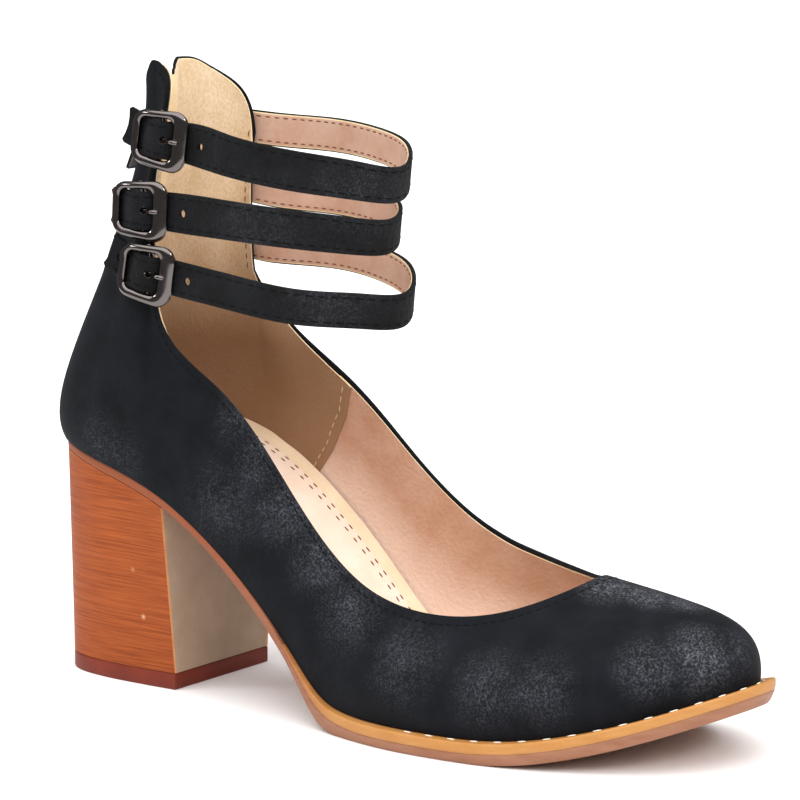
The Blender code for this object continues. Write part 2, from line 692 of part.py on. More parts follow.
def hole_cutter(row):
    """Hole in the strap along the prong's slope."""
    ends = [at_buckle(row, HOLE_ALONG - 0.62 * k, 0.0, 0.1 - 0.78 * k) for k in (4.0, -4.0)]
    return tube("hole_" + row.name, ends, HOLE_RADIUS, False, STRAP, cutters)


def make_strap(row):
    strap = ribbon("strap_" + row.name, *strap_edges(row), STRAP_STEPS, STRAP, STRAP_THICK)
    cut(strap, hole_cutter(row))
    chape = ribbon("chape_" + row.name, *chape_edges(row), CHAPE_STEPS, STRAP, CHAPE_THICK)
    cut(chape, slot_cutter(row))
    frame = tube("buckle_" + row.name, frame_line(row), FRAME_RADIUS, True, METAL)
    cut(frame, tube("bar_" + row.name, bar_line(row), BAR_RADIUS, False, METAL, cutters), "UNION")
    tube("prong_" + row.name, prong_line(row), PRONG_RADIUS, False, METAL)


# Back zip

def back_x(z):
    line = wall(np.array((float(LOOP_ROWS),)), np.linspace(0.2, 1, 60))[0]
    return float(np.interp(z, line[:, 2], line[:, 0]))


def make_zip():
    heights = np.linspace(ZIP_LOW, ZIP_HIGH, 7)
    low = np.array([(back_x(z) + 0.9, -CHAIN_HALF, z) for z in heights])
    high = np.array([(back_x(z) + 0.9, CHAIN_HALF, z) for z in heights])
    ribbon("zip_chain", low, high, 12, ZIP_CLOTH, CHAIN_THICK)
    lean = math.degrees(math.atan2(back_x(SLIDER_Z + 4) - back_x(SLIDER_Z - 4), 8.0))
    face = back_x(SLIDER_Z) - GAP - SLIDER_SIZE[0] / 2 - 0.2
    slider = block("zip_slider", SLIDER_SIZE, (face, 0, SLIDER_Z), lean, METAL, edge=0.8)
    pivot = np.array((face - SLIDER_SIZE[0] / 2 - 1.1, 0.0, SLIDER_Z + 0.5))
    half_crown = ((2.2, 2.4), (-0.2, 2.2), (-1.7, 1.0))
    arch = [(x, z) for x, z in half_crown] + [(x, -z) for x, z in half_crown[::-1]]
    crown = [(pivot[0] + x, 0.0, pivot[2] + z) for x, z in arch]
    cut(slider, tube("crown", crown, CROWN_RADIUS, False, METAL, cutters), "UNION")
    a = math.radians(PULL_LEAN)
    down = np.array((-math.sin(a), 0.0, -math.cos(a)))
    pull = block("zip_pull", PULL_SIZE, pivot + down * (PULL_SIZE[2] / 2 - 0.6), PULL_LEAN, METAL, edge=0.35)
    eye = block("pull_eye", (4.0, 2.6, 4.0), pivot + down * 2.7, PULL_LEAN, METAL, cutters)
    cut(pull, eye)
    return pivot


make_upper()
make_outsole()
make_midsole()
make_insole()
make_heel()
for strap_row in STRAPS:
    make_strap(strap_row)
PULL_PIVOT = make_zip()
print("pull pivot", [round(float(c), 5) for c in place([PULL_PIVOT])[0]])
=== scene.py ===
# %% [markdown]
# # A black suede ankle-strap court shoe
# The shoe is built on a last, the wooden form of a foot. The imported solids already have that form, so this
# lesson keeps their place and gives every piece its real layers, edges, stitches and finishes.
# The frame is loaded first, because each piece rides on one of its bodies.

# %% Load the shoe's frame
import math
from collections import namedtuple

import bmesh
import bpy
import numpy as np
from mathutils import Matrix, Vector


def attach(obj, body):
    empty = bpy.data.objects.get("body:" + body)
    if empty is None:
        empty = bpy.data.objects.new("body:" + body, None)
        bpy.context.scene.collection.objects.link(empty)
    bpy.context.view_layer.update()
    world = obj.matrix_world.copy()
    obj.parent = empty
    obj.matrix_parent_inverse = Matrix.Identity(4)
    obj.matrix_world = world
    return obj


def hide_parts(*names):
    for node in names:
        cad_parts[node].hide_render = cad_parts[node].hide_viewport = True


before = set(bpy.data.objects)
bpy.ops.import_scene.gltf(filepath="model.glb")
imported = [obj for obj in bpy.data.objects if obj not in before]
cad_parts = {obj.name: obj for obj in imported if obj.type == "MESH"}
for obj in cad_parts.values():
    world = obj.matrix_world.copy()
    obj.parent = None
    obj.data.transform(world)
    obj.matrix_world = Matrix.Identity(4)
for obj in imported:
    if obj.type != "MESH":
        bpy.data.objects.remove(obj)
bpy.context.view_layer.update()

# %% [markdown]
# ## The last
# A pattern maker thinks of the last as a sole line seen from the side and a row of cross sections. Both are
# short tables here, in millimetres, the same ones that the solids were lofted from. Smooth curves through the
# rows give a surface that can be read at any place, so linings, seams and stitches can all follow it.

# %% Sole line and sections of the last
MM = 0.001
# The frame's origin in the tables, and the gap that keeps pieces apart
CENTRE_X = 113.1
CENTRE_Y = -2.35
GAP = 0.3

# Along the foot: height of the sole's top and bottom, raise of the inner edge, thickness of insole and
# midsole
PROFILE_COLUMNS = ("x", "seat", "tread", "arch", "bed", "mid")
PROFILE = np.array((
    (-16, 73.2, 70.8, 0.0, 7.0, 0.0),
    (-5, 71.8, 69.4, 0.0, 7.0, 0.0),
    (12, 68.8, 66.4, 0.4, 7.0, 0.0),
    (28, 64.8, 62.2, 1.4, 7.0, 0.0),
    (47, 58.2, 55.6, 2.8, 7.0, 0.0),
    (66, 46.9, 43.6, 3.8, 7.0, 0.0),
    (84, 32.6, 28.4, 4.0, 7.0, 0.0),
    (92, 25.2, 20.9, 3.6, 6.8, 0.0),
    (98, 19.4, 14.4, 3.2, 6.4, 0.9),
    (104, 13.6, 7.0, 2.6, 6.0, 1.8),
    (110, 9.2, 1.9, 2.0, 5.6, 2.5),
    (118, 6.8, 0.0, 1.2, 5.2, 2.9),
    (132, 6.0, 0.0, 0.3, 4.8, 3.0),
    (150, 6.0, 0.0, 0.0, 4.5, 3.0),
    (164, 6.2, 0.0, 0.0, 4.5, 3.0),
    (180, 7.8, 1.5, 0.0, 4.5, 3.0),
    (196, 11.3, 5.0, 0.0, 4.2, 3.0),
    (212, 16.3, 10.0, 0.0, 4.0, 3.0),
    (228, 22.2, 15.9, 0.0, 3.8, 3.0),
    (244, 28.2, 21.9, 0.0, 3.6, 3.0),
), float)
# The midsole's start and least thickness, and how far across the arch climbs
MID_START = 95.0
MID_LEAST = 0.4
ARCH_HALF = 24.0
BALL_PRESS = 0.1
# Along the foot: how far the outsole's lower edge is drawn in
TUCK = ((40, 60, 100, 130, 230), (0.0, 0.6, 0.8, 1.0, 1.6))

# From heel to toe: feather line, its half widths, topline points on the outer and inner side, then length and
# tilt of the wall's start and end, and how far the sole stands out
SECTION_COLUMNS = ("foot", "out_o", "out_i", "top_x_o", "top_y_o", "top_z_o", "top_x_i", "top_y_i", "top_z_i",
                   "rise", "lean", "drop", "fall", "ledge")
SECTIONS = np.array((
    (-3.8, 0.0, 0.0, 26.0, 0.0, 184.0, 26.0, 0.0, 184.0, 20, 38, 48, 96, -1.2),
    (0.8, 17.0, 17.0, 28.8, 9.8, 185.8, 28.0, 10.0, 183.5, 19, 30, 47, 94, -1.0),
    (15, 25.5, 25.5, 37.1, 14.3, 183.1, 34.0, 18.0, 179.0, 18, 15, 40, 90, -0.6),
    (28, 27.2, 27.2, 41.2, 16.9, 174.0, 42.2, 22.5, 168.0, 18, 9, 32, 76, -0.4),
    (42, 28.2, 27.2, 39.4, 21.8, 144.0, 42.8, 23.2, 140.0, 18, 7, 26, 86, -0.1),
    (59, 29.2, 26.2, 46.0, 26.1, 109.0, 49.0, 24.3, 111.0, 16, 6, 20, 84, 0.2),
    (83, 30.8, 24.2, 69.0, 25.6, 90.0, 76.0, 25.0, 90.0, 16, 8, 16, 86, 0.7),
    (108, 35.0, 25.0, 94.0, 27.5, 64.5, 99.0, 26.5, 69.0, 14, 10, 14, 80, 2.0),
    (132, 40.0, 30.0, 119.0, 29.5, 43.0, 119.5, 29.0, 52.2, 13, 12, 12, 70, 3.0),
    (154, 41.0, 35.0, 144.0, 29.0, 37.0, 141.0, 27.5, 45.2, 13, 14, 13, 55, 3.2),
    (177, 38.0, 36.0, 162.0, 24.0, 38.8, 159.0, 21.5, 43.4, 15, 14, 18, 38, 3.4),
    (200, 30.0, 31.0, 173.0, 15.5, 42.8, 171.0, 13.0, 44.2, 17, 12, 24, 24, 3.6),
    (218, 17.5, 20.0, 179.2, 7.0, 46.3, 178.2, 6.4, 46.0, 18, 8, 30, 14, 4.0),
    (228, -2.5, 2.5, 181.0, 0.2, 47.6, 181.0, -0.2, 47.6, 18, 4, 34, 11, 4.2),
), float)
SIDE_ROWS = len(SECTIONS) - 1
LOOP_ROWS = 2 * SIDE_ROWS
# Split at the back of the cuff: height and width; it fades out over so many section rows. The outer half's
# back corner dips: height and drop.
SLIT = np.array(((116, 0.0), (120, 0.0), (128, 4.4), (170, 4.6), (186, 8.5)), float)
SLIT_FADE = 1.7
OUTER_DIP = np.array(((140, 0.0), (165, 1.0), (186, 6.2)), float)
DIP_POWER = 1.5
# Front edge of the cuff's inner half, cut sharp down to the quarter: place along the foot and height
FRONT_TRIM = ((47, 170), (43.2, 162), (41.6, 156), (40.8, 148), (40.2, 140), (39.8, 130), (39.9, 123),
              (40.3, 119.2), (42.0, 117.0), (45.0, 114.5), (49.5, 111.0), (60, 106), (60, 170))
FRONT_TRIM_Y = (14.0, 34.0)
print("last has", len(SECTIONS), "sections a side")


# %% Curves through the tables
def smooth_through(knots, values, x):
    """Natural cubic spline through the given points."""
    knots = np.asarray(knots, float)
    values = np.asarray(values, float)
    x = np.asarray(x, float)
    count = len(knots)
    step = np.diff(knots)
    system = np.eye(count)
    right = np.zeros((count,) + values.shape[1:])
    for i in range(1, count - 1):
        system[i, i - 1] = step[i - 1]
        system[i, i] = 2 * (step[i - 1] + step[i])
        system[i, i + 1] = step[i]
        right[i] = 6 * ((values[i + 1] - values[i]) / step[i] - (values[i] - values[i - 1]) / step[i - 1])
    bend = np.linalg.solve(system, right)
    i = np.clip(np.searchsorted(knots, x) - 1, 0, count - 2)
    width = step[i]
    after = x - knots[i]
    before = knots[i + 1] - x
    if values.ndim > 1:
        width, after, before = width[:, None], after[:, None], before[:, None]
    curve = (bend[i] * before ** 3 + bend[i + 1] * after ** 3) / (6 * width)
    curve = curve + (values[i] / width - bend[i] * width / 6) * before
    return curve + (values[i + 1] / width - bend[i + 1] * width / 6) * after


def profile(column, x):
    return smooth_through(PROFILE[:, 0], PROFILE[:, PROFILE_COLUMNS.index(column)], x)


def straight(column, x):
    return np.interp(x, PROFILE[:, 0], PROFILE[:, PROFILE_COLUMNS.index(column)])


def inner_raise(x, y):
    """The sole's inner edge climbs in the arch."""
    share = np.clip(np.asarray(y, float) / ARCH_HALF, 0, 1)
    return straight("arch", x) * share * share * (3 - 2 * share)


def seat(x, y):
    return profile("seat", x) + inner_raise(x, y)


def tread(x, y):
    return np.maximum(profile("tread", x) - BALL_PRESS, 0) + inner_raise(x, y)


def loop_table():
    """Outer rows from back to toe, then inner rows from toe to back."""
    shared = ("rise", "lean", "drop", "fall", "ledge")
    sides = []
    for side in ("o", "i"):
        names = ("foot", "out_" + side, "top_x_" + side, "top_y_" + side, "top_z_" + side, *shared)
        sides.append(SECTIONS[:, [SECTION_COLUMNS.index(name) for name in names]])
    outer, inner = sides
    outer[:, (1, 3)] *= -1
    return np.concatenate((outer, inner[-2:0:-1]))


LOOP = loop_table()
LOOP_PULL = 4 * np.eye(LOOP_ROWS) + np.roll(np.eye(LOOP_ROWS), 1, 0) + np.roll(np.eye(LOOP_ROWS), -1, 0)
LOOP_BEND = np.linalg.solve(LOOP_PULL, 6 * (np.roll(LOOP, -1, 0) - 2 * LOOP + np.roll(LOOP, 1, 0)))


def around(t):
    """Closed spline through the loop's rows: foot x, y, top x, y, z, rise, lean, drop, fall, ledge."""
    t = np.atleast_1d(np.asarray(t, float))
    low = np.floor(t).astype(int) % LOOP_ROWS
    high = (low + 1) % LOOP_ROWS
    f = (t - np.floor(t))[:, None]
    g = 1 - f
    bent = LOOP_BEND[low] * (g ** 3 - g) + LOOP_BEND[high] * (f ** 3 - f)
    return bent / 6 + LOOP[low] * g + LOOP[high] * f


def unit(vectors):
    return vectors / np.maximum(np.linalg.norm(vectors, axis=-1, keepdims=True), 1e-9)


def foot_out(t):
    """Outward direction of the feather line in plan."""
    along = unit((around(np.asarray(t) + 0.001) - around(np.asarray(t) - 0.001))[:, :2])
    return np.stack((along[:, 1], -along[:, 0]), -1)


def outline(t, off):
    """Feather line moved outward in plan."""
    return around(t)[:, :2] + foot_out(t) * np.asarray(off, float).reshape(-1, 1)


print("feather line passes", LOOP_ROWS, "rows, from", LOOP[:, 0].min(), "to", LOOP[:, 0].max(), "mm")

# %% The wall of the upper
UP = np.array((0.0, 0.0, 1.0))


def wall_at(t, v):
    """Outer face at pairs of loop place t and height v, 0 at the feather line and 1 at the topline."""
    t = np.clip(np.asarray(t, float), 0, LOOP_ROWS)
    v = np.clip(np.asarray(v, float), 0, 1)[:, None]
    rows = around(t)
    foot = np.stack((rows[:, 0], rows[:, 1], seat(rows[:, 0], rows[:, 1]) + GAP), -1)
    top = rows[:, 2:5]
    out = np.concatenate((foot_out(t), np.zeros((len(t), 1))), -1)
    back = unit((foot - top) * (1, 1, 0))
    rise, drop = rows[:, 5:6], rows[:, 7:8]
    lean, fall = np.radians(rows[:, 6:7]), np.radians(rows[:, 8:9])
    low = foot + rise * (out * np.sin(lean) + UP * np.cos(lean))
    high = top + drop * (back * np.cos(fall) - UP * np.sin(fall))
    r = 1 - v
    points = r ** 3 * foot + 3 * r * r * v * low + 3 * r * v * v * high + v ** 3 * top
    half = 0.5 * np.interp(points[:, 2], SLIT[:, 0], SLIT[:, 1])
    outer = np.clip(1 - t / SLIT_FADE, 0, 1)
    inner = np.clip(1 - (LOOP_ROWS - t) / SLIT_FADE, 0, 1)
    points[:, 1] += half * (inner - outer)
    points[:, 2] -= np.interp(points[:, 2], OUTER_DIP[:, 0], OUTER_DIP[:, 1]) * outer ** DIP_POWER
    return points


def wall_grid(t, v):
    """Outer face at every pair of the given loop places and heights."""
    return wall_at(np.repeat(t, len(v)), np.tile(v, len(t))).reshape(len(t), len(v), 3)


def wall_axes(t, v):
    """Directions on the wall: along the loop, up to the topline and outward."""
    step = 0.01
    along = unit(wall_at(t + step, v) - wall_at(t - step, v))
    up = unit(wall_at(t, v + step) - wall_at(t, v - step))
    return along, up, unit(np.cross(along, up))


TOP_GRID = np.linspace(0, LOOP_ROWS, 261)
TOP_FINE = np.linspace(0.55, 1, 64)
top_strip = wall_grid(TOP_GRID, TOP_FINE)[:, ::-1]
TOP_RUNS = np.cumsum(np.linalg.norm(np.diff(top_strip, axis=1), axis=2), axis=1)


def below_top(t, depth):
    """Height v that lies so many millimetres down the wall; depth is a number or a function of the place."""
    wanted = depth(TOP_GRID) if callable(depth) else np.full(len(TOP_GRID), float(depth))
    found = [np.interp(d, (0.0, *run), TOP_FINE[::-1]) for d, run in zip(wanted, TOP_RUNS)]
    return np.interp(t, TOP_GRID, found)


CUFF_T = np.linspace(0.3, 4.6, 44)
CUFF_V = np.linspace(0.25, 1, 40)


def cuff_line(z, side):
    """Plan line of the cuff's outer face at height z, from the back to its front edge; side -1 is outer."""
    columns = wall_grid(CUFF_T if side < 0 else LOOP_ROWS - CUFF_T, CUFF_V)
    return np.array([[np.interp(z, column[:, 2], column[:, k]) for k in (0, 1)] for column in columns])


def cuff_point(x, z, side, off):
    """Point at x on the cuff's outer face at height z, moved outward."""
    line = cuff_line(z, side)
    y, ahead, behind = np.interp((x, x + 0.5, x - 0.5), line[:, 0], line[:, 1])
    slope = ahead - behind
    normal = side * np.array((-slope, 1.0)) / math.hypot(slope, 1.0)
    return np.array((x + off * normal[0], y + off * normal[1], z))


topline = wall_at(TOP_GRID, np.ones(len(TOP_GRID)))
print("topline", round(float(np.linalg.norm(np.diff(topline, axis=0), axis=1).sum())), "mm long")

# %% [markdown]
# ## From a flat sheet to a piece
# Leather goods are flat sheets bent round a form. The code works the same way: a bmesh grid is the flat
# sheet, and a function of its two directions lays each corner on the last. The flat place is kept as a UV
# map, so a pattern can follow the sheet. Where both ends of a section meet, merging the doubles closes it.


# %% Helpers that lay, close and finish a sheet
MEET = 0.002
SLIVER = 0.001


def place(points):
    """Table millimetres to metres in the shoe's frame."""
    return (np.asarray(points, float) - np.array((CENTRE_X, CENTRE_Y, 0.0))) * MM


def moved_to(spot):
    """Matrix that carries a shape from the origin to a place in the tables."""
    return Matrix.Translation(Vector(place(spot)))


def sheet(columns, rows, shape, size=(1.0, 1.0)):
    """Grid with each corner at u, v, from 0 to 1, laid at shape(u, v); size is the flat sheet's, in mm."""
    build = bmesh.new()
    bmesh.ops.create_grid(build, x_segments=columns, y_segments=rows, size=0.5)
    flat = np.array([corner.co[:2] for corner in build.verts])
    flat = (flat - flat.min(0)) / np.ptp(flat, axis=0)
    build.verts.index_update()
    spread = build.loops.layers.uv.new("flat_sheet")
    for face in build.faces:
        for corner in face.loops:
            corner[spread].uv = flat[corner.vert.index] * size
    for corner, spot in zip(build.verts, place(shape(flat[:, 0], flat[:, 1]))):
        corner.co = spot
    return build


def close(build):
    """Merge what meets, fill the open ends and point the faces out."""
    bmesh.ops.remove_doubles(build, verts=build.verts, dist=MEET * MM)
    bmesh.ops.dissolve_degenerate(build, edges=build.edges, dist=SLIVER * MM)
    ends = [edge for edge in build.edges if edge.is_boundary]
    if ends:
        bmesh.ops.triangle_fill(build, use_beauty=True, use_dissolve=False, edges=ends)
    bmesh.ops.recalc_face_normals(build, faces=build.faces)
    return build


def new_object(name, build, *finishes):
    """Object at the origin with the bmesh as its mesh."""
    mesh = bpy.data.meshes.new(name)
    build.to_mesh(mesh)
    build.free()
    for one in finishes:
        mesh.materials.append(one)
    made = bpy.data.objects.new(name, mesh)
    bpy.context.scene.collection.objects.link(made)
    return made


def piece(name, build, finishes, stands_for=(), body="shoe", crease=40.0):
    """Smooth object that rides on a body, in place of the solids that it stands for."""
    made = new_object(name, build, *(finishes if isinstance(finishes, tuple) else (finishes,)))
    made.data.shade_smooth()
    made.data.set_sharp_from_angle(angle=math.radians(crease))
    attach(made, body)
    if stands_for:
        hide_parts(*stands_for)
    print(name, len(made.data.polygons), "faces")
    return made


def cut(made, cutter):
    """Take the cutter's shape out of a piece for good."""
    tool = new_object("cutter", cutter)
    act = made.modifiers.new("cut", "BOOLEAN")
    act.operation = "DIFFERENCE"
    act.object = tool
    bpy.context.view_layer.update()
    done = bpy.data.meshes.new_from_object(made.evaluated_get(bpy.context.evaluated_depsgraph_get()))
    made.modifiers.clear()
    made.data = done
    bpy.data.objects.remove(tool)


def prism(corners, push):
    """Closed block from a flat line of places, pushed out in one direction."""
    build = bmesh.new()
    cap = build.faces.new([build.verts.new(place(spot)) for spot in corners])
    grown = bmesh.ops.extrude_face_region(build, geom=[cap])
    moved = [part for part in grown["geom"] if isinstance(part, bmesh.types.BMVert)]
    bmesh.ops.translate(build, vec=Vector(push) * MM, verts=moved)
    bmesh.ops.recalc_face_normals(build, faces=build.faces)
    return build


def round_edges(build, edges, radius, segments):
    """Bevel edges by a radius in millimetres."""
    bmesh.ops.bevel(build, geom=edges, offset=radius * MM, offset_type="OFFSET", segments=segments,
                    profile=0.5, affect="EDGES", material=-1)


# %% [markdown]
# ## Finishes
# Every finish starts from what the real material is and how its surface was made. One function turns a colour
# to linear light, one adds a node. Object coordinates are in metres, so a pattern of a given size in
# millimetres has a scale of a thousand over that size.

# %% Colour, pattern scale and node helpers
def linear(colour):
    """Linear RGBA of an sRGB hex colour."""
    parts = [int(colour[i:i + 2], 16) / 255 for i in (1, 3, 5)]
    return (*[c / 12.92 if c <= 0.04045 else ((c + 0.055) / 1.055) ** 2.4 for c in parts], 1.0)


def per(size):
    """Texture scale on Object coordinates for a pattern of so many millimetres."""
    return 1.0 / (size * MM)


def add(tree, kind, settings=None, inputs=None):
    """One shader node with its settings and its inputs, linked where the value is another node's output."""
    node = tree.nodes.new("ShaderNode" + kind)
    for name, value in (settings or {}).items():
        setattr(node, name, value)
    for key, value in (inputs or {}).items():
        if isinstance(value, bpy.types.NodeSocket):
            tree.links.new(value, node.inputs[key])
        else:
            node.inputs[key].default_value = value
    return node


def finish(name, **constants):
    """New material with values set on its Principled shader; returns material, tree and shader."""
    made = bpy.data.materials.new(name)
    made.use_nodes = True
    shader = made.node_tree.nodes["Principled BSDF"]
    for key, value in constants.items():
        shader.inputs[key.replace("_", " ").title().replace("Ior", "IOR")].default_value = value
    print("finish", name)
    return made, made.node_tree, shader


RGBA = {"data_type": "RGBA"}
MIX_A, MIX_B, MIX_OUT = 6, 7, 2


def spot_mask(tree, where, spot, radius, strength=1.0):
    """Strength at a place on the shoe that falls off softly to nothing at the radius."""
    away = add(tree, "VectorMath", {"operation": "DISTANCE"}, {0: where, 1: place(spot)})
    near = add(tree, "MapRange", {"interpolation_type": "SMOOTHSTEP"},
               {"Value": away.outputs["Value"], "From Min": radius * MM, "From Max": 0.0, "To Max": strength})
    return near.outputs[0]


def raise_grain(tree, shader, height, strength, depth):
    """Bump of a depth in millimetres on the shader."""
    bump = add(tree, "Bump", inputs={"Strength": strength, "Distance": depth * MM, "Height": height})
    tree.links.new(bump.outputs[0], shader.inputs["Normal"])


# %% Black suede: split leather sanded to a nap, greyed where it wears, with painted sheen where light grazes it
# Clouds of tone, tufts of nap and the dots where single tufts are rubbed, in millimetres. Real tufts are
# finer than a pixel, so they are drawn as coarse as they need to show.
SUEDE_CLOUD = 11.0
SUEDE_TUFT = 1.6
SUEDE_DOT = 0.6


def suede(name, dark, light, rub_and_sheen_colour, wear_and_sheen_spots, gloss, depth):
    """Patch rows: place on the shoe, radius and strength of a grey patch of wear, in some patches also
    painted sheen; depth is that of the nap.
    """
    made, tree, shader = finish(name, Roughness=0.75, Specular_Ior_Level=gloss, Sheen_Weight=0.03,
                                Sheen_Roughness=0.5)
    where = add(tree, "TexCoord").outputs["Object"]
    cloud = add(tree, "TexNoise", inputs={"Vector": where, "Scale": per(SUEDE_CLOUD), "Detail": 5.0,
                                          "Roughness": 0.6})
    nap = add(tree, "TexNoise", inputs={"Vector": where, "Scale": per(SUEDE_TUFT), "Detail": 4.0,
                                        "Roughness": 0.7})
    dots = add(tree, "TexNoise", inputs={"Vector": where, "Scale": per(SUEDE_DOT), "Detail": 1.0})
    tone = add(tree, "MapRange", inputs={"Value": cloud.outputs[0], "From Min": 0.35, "From Max": 0.68})
    base = add(tree, "Mix", RGBA, {0: tone.outputs[0], MIX_A: linear(dark), MIX_B: linear(light)})
    mask = spot_mask(tree, where, *wear_and_sheen_spots[0])
    for row in wear_and_sheen_spots[1:]:
        both = add(tree, "Math", {"operation": "MAXIMUM"}, {0: mask, 1: spot_mask(tree, where, *row)})
        mask = both.outputs[0]
    ragged = add(tree, "MapRange", inputs={"Value": cloud.outputs[0], "From Min": 0.3, "From Max": 0.65,
                                           "To Min": 0.45})
    patch = add(tree, "Math", {"operation": "MULTIPLY"}, {0: ragged.outputs[0], 1: mask})
    tuft = add(tree, "MapRange", inputs={"Value": nap.outputs[0], "From Min": 0.36, "From Max": 0.64,
                                         "To Min": 0.35})
    dot = add(tree, "MapRange", inputs={"Value": dots.outputs[0], "From Min": 0.44, "From Max": 0.66,
                                        "To Min": 0.15})
    fleck = add(tree, "Math", {"operation": "MULTIPLY"}, {0: tuft.outputs[0], 1: dot.outputs[0]})
    # Grey flecks of wear; in the toe and vamp ridge patches they are also painted sheen.
    rub_and_sheen = add(tree, "Math", {"operation": "MULTIPLY"}, {0: fleck.outputs[0], 1: patch.outputs[0]})
    colour = add(tree, "Mix", RGBA, {0: rub_and_sheen.outputs[0], MIX_A: base.outputs[MIX_OUT], MIX_B: linear(rub_and_sheen_colour)})
    tree.links.new(colour.outputs[MIX_OUT], shader.inputs["Base Color"])
    raise_grain(tree, shader, nap.outputs[0], 0.6, depth)
    return made


# Toe and its outer side, ridge of the vamp, outer side from quarter to ball, heel, inner side. The grey is
# wear, and on the toe and the vamp's ridge it is also painted sheen where light grazes the nap.
WEAR_AND_SHEEN_UPPER = (
    ((218, -10, 31), 14, 0.62), ((209, -21, 29), 13, 0.42), ((223, -1, 31), 10, 0.3),
    ((183, -34, 22), 15, 0.26), ((168, -37, 21), 16, 0.28),
    ((187, -5, 47), 12, 0.7), ((197, -2, 46), 11, 0.85), ((206, 2, 43), 10, 0.6),
    ((73, -26, 84), 12, 0.22), ((82, -27, 73), 14, 0.3), ((92, -28, 60), 16, 0.34),
    ((106, -30, 48), 16, 0.32), ((72, -30, 60), 20, 0.18), ((118, -33, 35), 17, 0.28),
    ((140, -37, 24), 18, 0.24), ((31, -28, 69), 14, 0.16), ((23, -27, 73), 14, 0.16),
    ((150, 34, 22), 30, 0.12), ((200, 25, 28), 24, 0.16), ((60, 26, 72), 30, 0.1),
)
BLACK_SUEDE = suede("black_suede", "#080a0e", "#12141a", "#8b8c96", WEAR_AND_SHEEN_UPPER, 0.1, 0.3)
WORN_STRAPS = (((106, -10, 150), 24, 0.2), ((80, -24, 140), 26, 0.16), ((100, -18, 122), 24, 0.2))
BLACK_NUBUCK = suede("black_nubuck", "#050607", "#111216", "#7a7b84", WORN_STRAPS, 0.16, 1.4)


# %% Leathers: a fine grain over soft clouds of tone, drawn out along a direction where the leather is layered
# Size of the clouds in millimetres, half the range of their tone, and how much a full stain, and the painted
# shade on the cuff lining, covers
LEATHER_CLOUD = 9.0
LEATHER_RANGE = 0.175
FULL_STAIN_AND_SHADE = 0.9


def leather(name, light, shade, grain, depth, roughness, stretch=(1.0, 1.0, 1.0), stain_and_shade=None, painted_light=None,
            mottle=0.35):
    """stain and shade: colour, axis, and the places on it where the colour is full and where it has faded
    out. On the soles it is a real stain, on the cuff lining painted shade.
    painted light: a paler colour painted as light, and the places round a wall sheet where it begins and
    where it is full.
    mottle: how much the grain colours."""
    made, tree, shader = finish(name, Roughness=roughness, Specular_Ior_Level=0.3)
    where = add(tree, "TexCoord").outputs["Object"]
    drawn = add(tree, "Mapping", inputs={"Vector": where, "Scale": stretch})
    cloud = add(tree, "TexNoise", inputs={"Vector": drawn.outputs[0], "Scale": per(LEATHER_CLOUD),
                                          "Detail": 4.0})
    fine = add(tree, "TexNoise", inputs={"Vector": drawn.outputs[0], "Scale": per(grain), "Detail": 3.0})
    both = add(tree, "Math", {"operation": "MULTIPLY_ADD"},
               {0: fine.outputs[0], 1: mottle, 2: cloud.outputs[0]})
    middle = 0.5 + 0.5 * mottle
    tone = add(tree, "MapRange", inputs={"Value": both.outputs[0], "From Min": middle - LEATHER_RANGE,
                                         "From Max": middle + LEATHER_RANGE})
    colour = add(tree, "Mix", RGBA, {0: tone.outputs[0], MIX_A: linear(light), MIX_B: linear(shade)})
    # Colour along one axis: a real stain on the soles, painted shade on the cuff lining.
    if stain_and_shade:
        axis = stain_and_shade[1]
        full, faded = (place((spot, spot, spot))[axis] for spot in stain_and_shade[2:])
        parts = add(tree, "SeparateXYZ", inputs={0: where})
        amount = add(tree, "MapRange", inputs={"Value": parts.outputs[axis], "From Min": full,
                                               "From Max": faded, "To Min": FULL_STAIN_AND_SHADE, "To Max": 0.0})
        colour = add(tree, "Mix", RGBA, {0: amount.outputs[0], MIX_A: colour.outputs[MIX_OUT],
                                         MIX_B: linear(stain_and_shade[0])})
    # Painted light: a paler colour over part of a wall sheet.
    if painted_light:
        flat = add(tree, "SeparateXYZ", inputs={0: add(tree, "UVMap", {"uv_map": "flat_sheet"}).outputs[0]})
        amount = add(tree, "MapRange", inputs={"Value": flat.outputs[1], "From Min": painted_light[1],
                                               "From Max": painted_light[2]})
        colour = add(tree, "Mix", RGBA, {0: amount.outputs[0], MIX_A: colour.outputs[MIX_OUT],
                                         MIX_B: linear(painted_light[0])})
    tree.links.new(colour.outputs[MIX_OUT], shader.inputs["Base Color"])
    raise_grain(tree, shader, fine.outputs[0], 0.4, depth)
    return made


# The cuff lining darkens towards its bottom: painted shade deep inside the cuff.
TAN_MICROSUEDE = leather("tan_microsuede", "#e5cfb1", "#d5b993", 0.6, 0.7, 0.9, (1.0, 1.0, 0.6),
                         stain_and_shade=("#8b6547", 2, 98, 142), mottle=0.9)
# The vamp lining turns paler low on its inner face: painted light from above.
VAMP_LINING = leather("pink_tan_lining_leather", "#c39a82", "#b98b70", 1.3, 1.0, 0.42,
                      painted_light=("#f0d8c8", 0.55, 0.95))
STRAP_LINING = leather("pink_strap_lining", "#cbaa97", "#c09882", 1.2, 0.2, 0.6)
RAW_EDGE = leather("raw_leather_edge", "#f0d8b0", "#e4c698", 0.6, 0.1, 0.85)
SOCK_LEATHER = leather("cream_sock_leather", "#efdac8", "#e8cfba", 0.9, 0.08, 0.6)
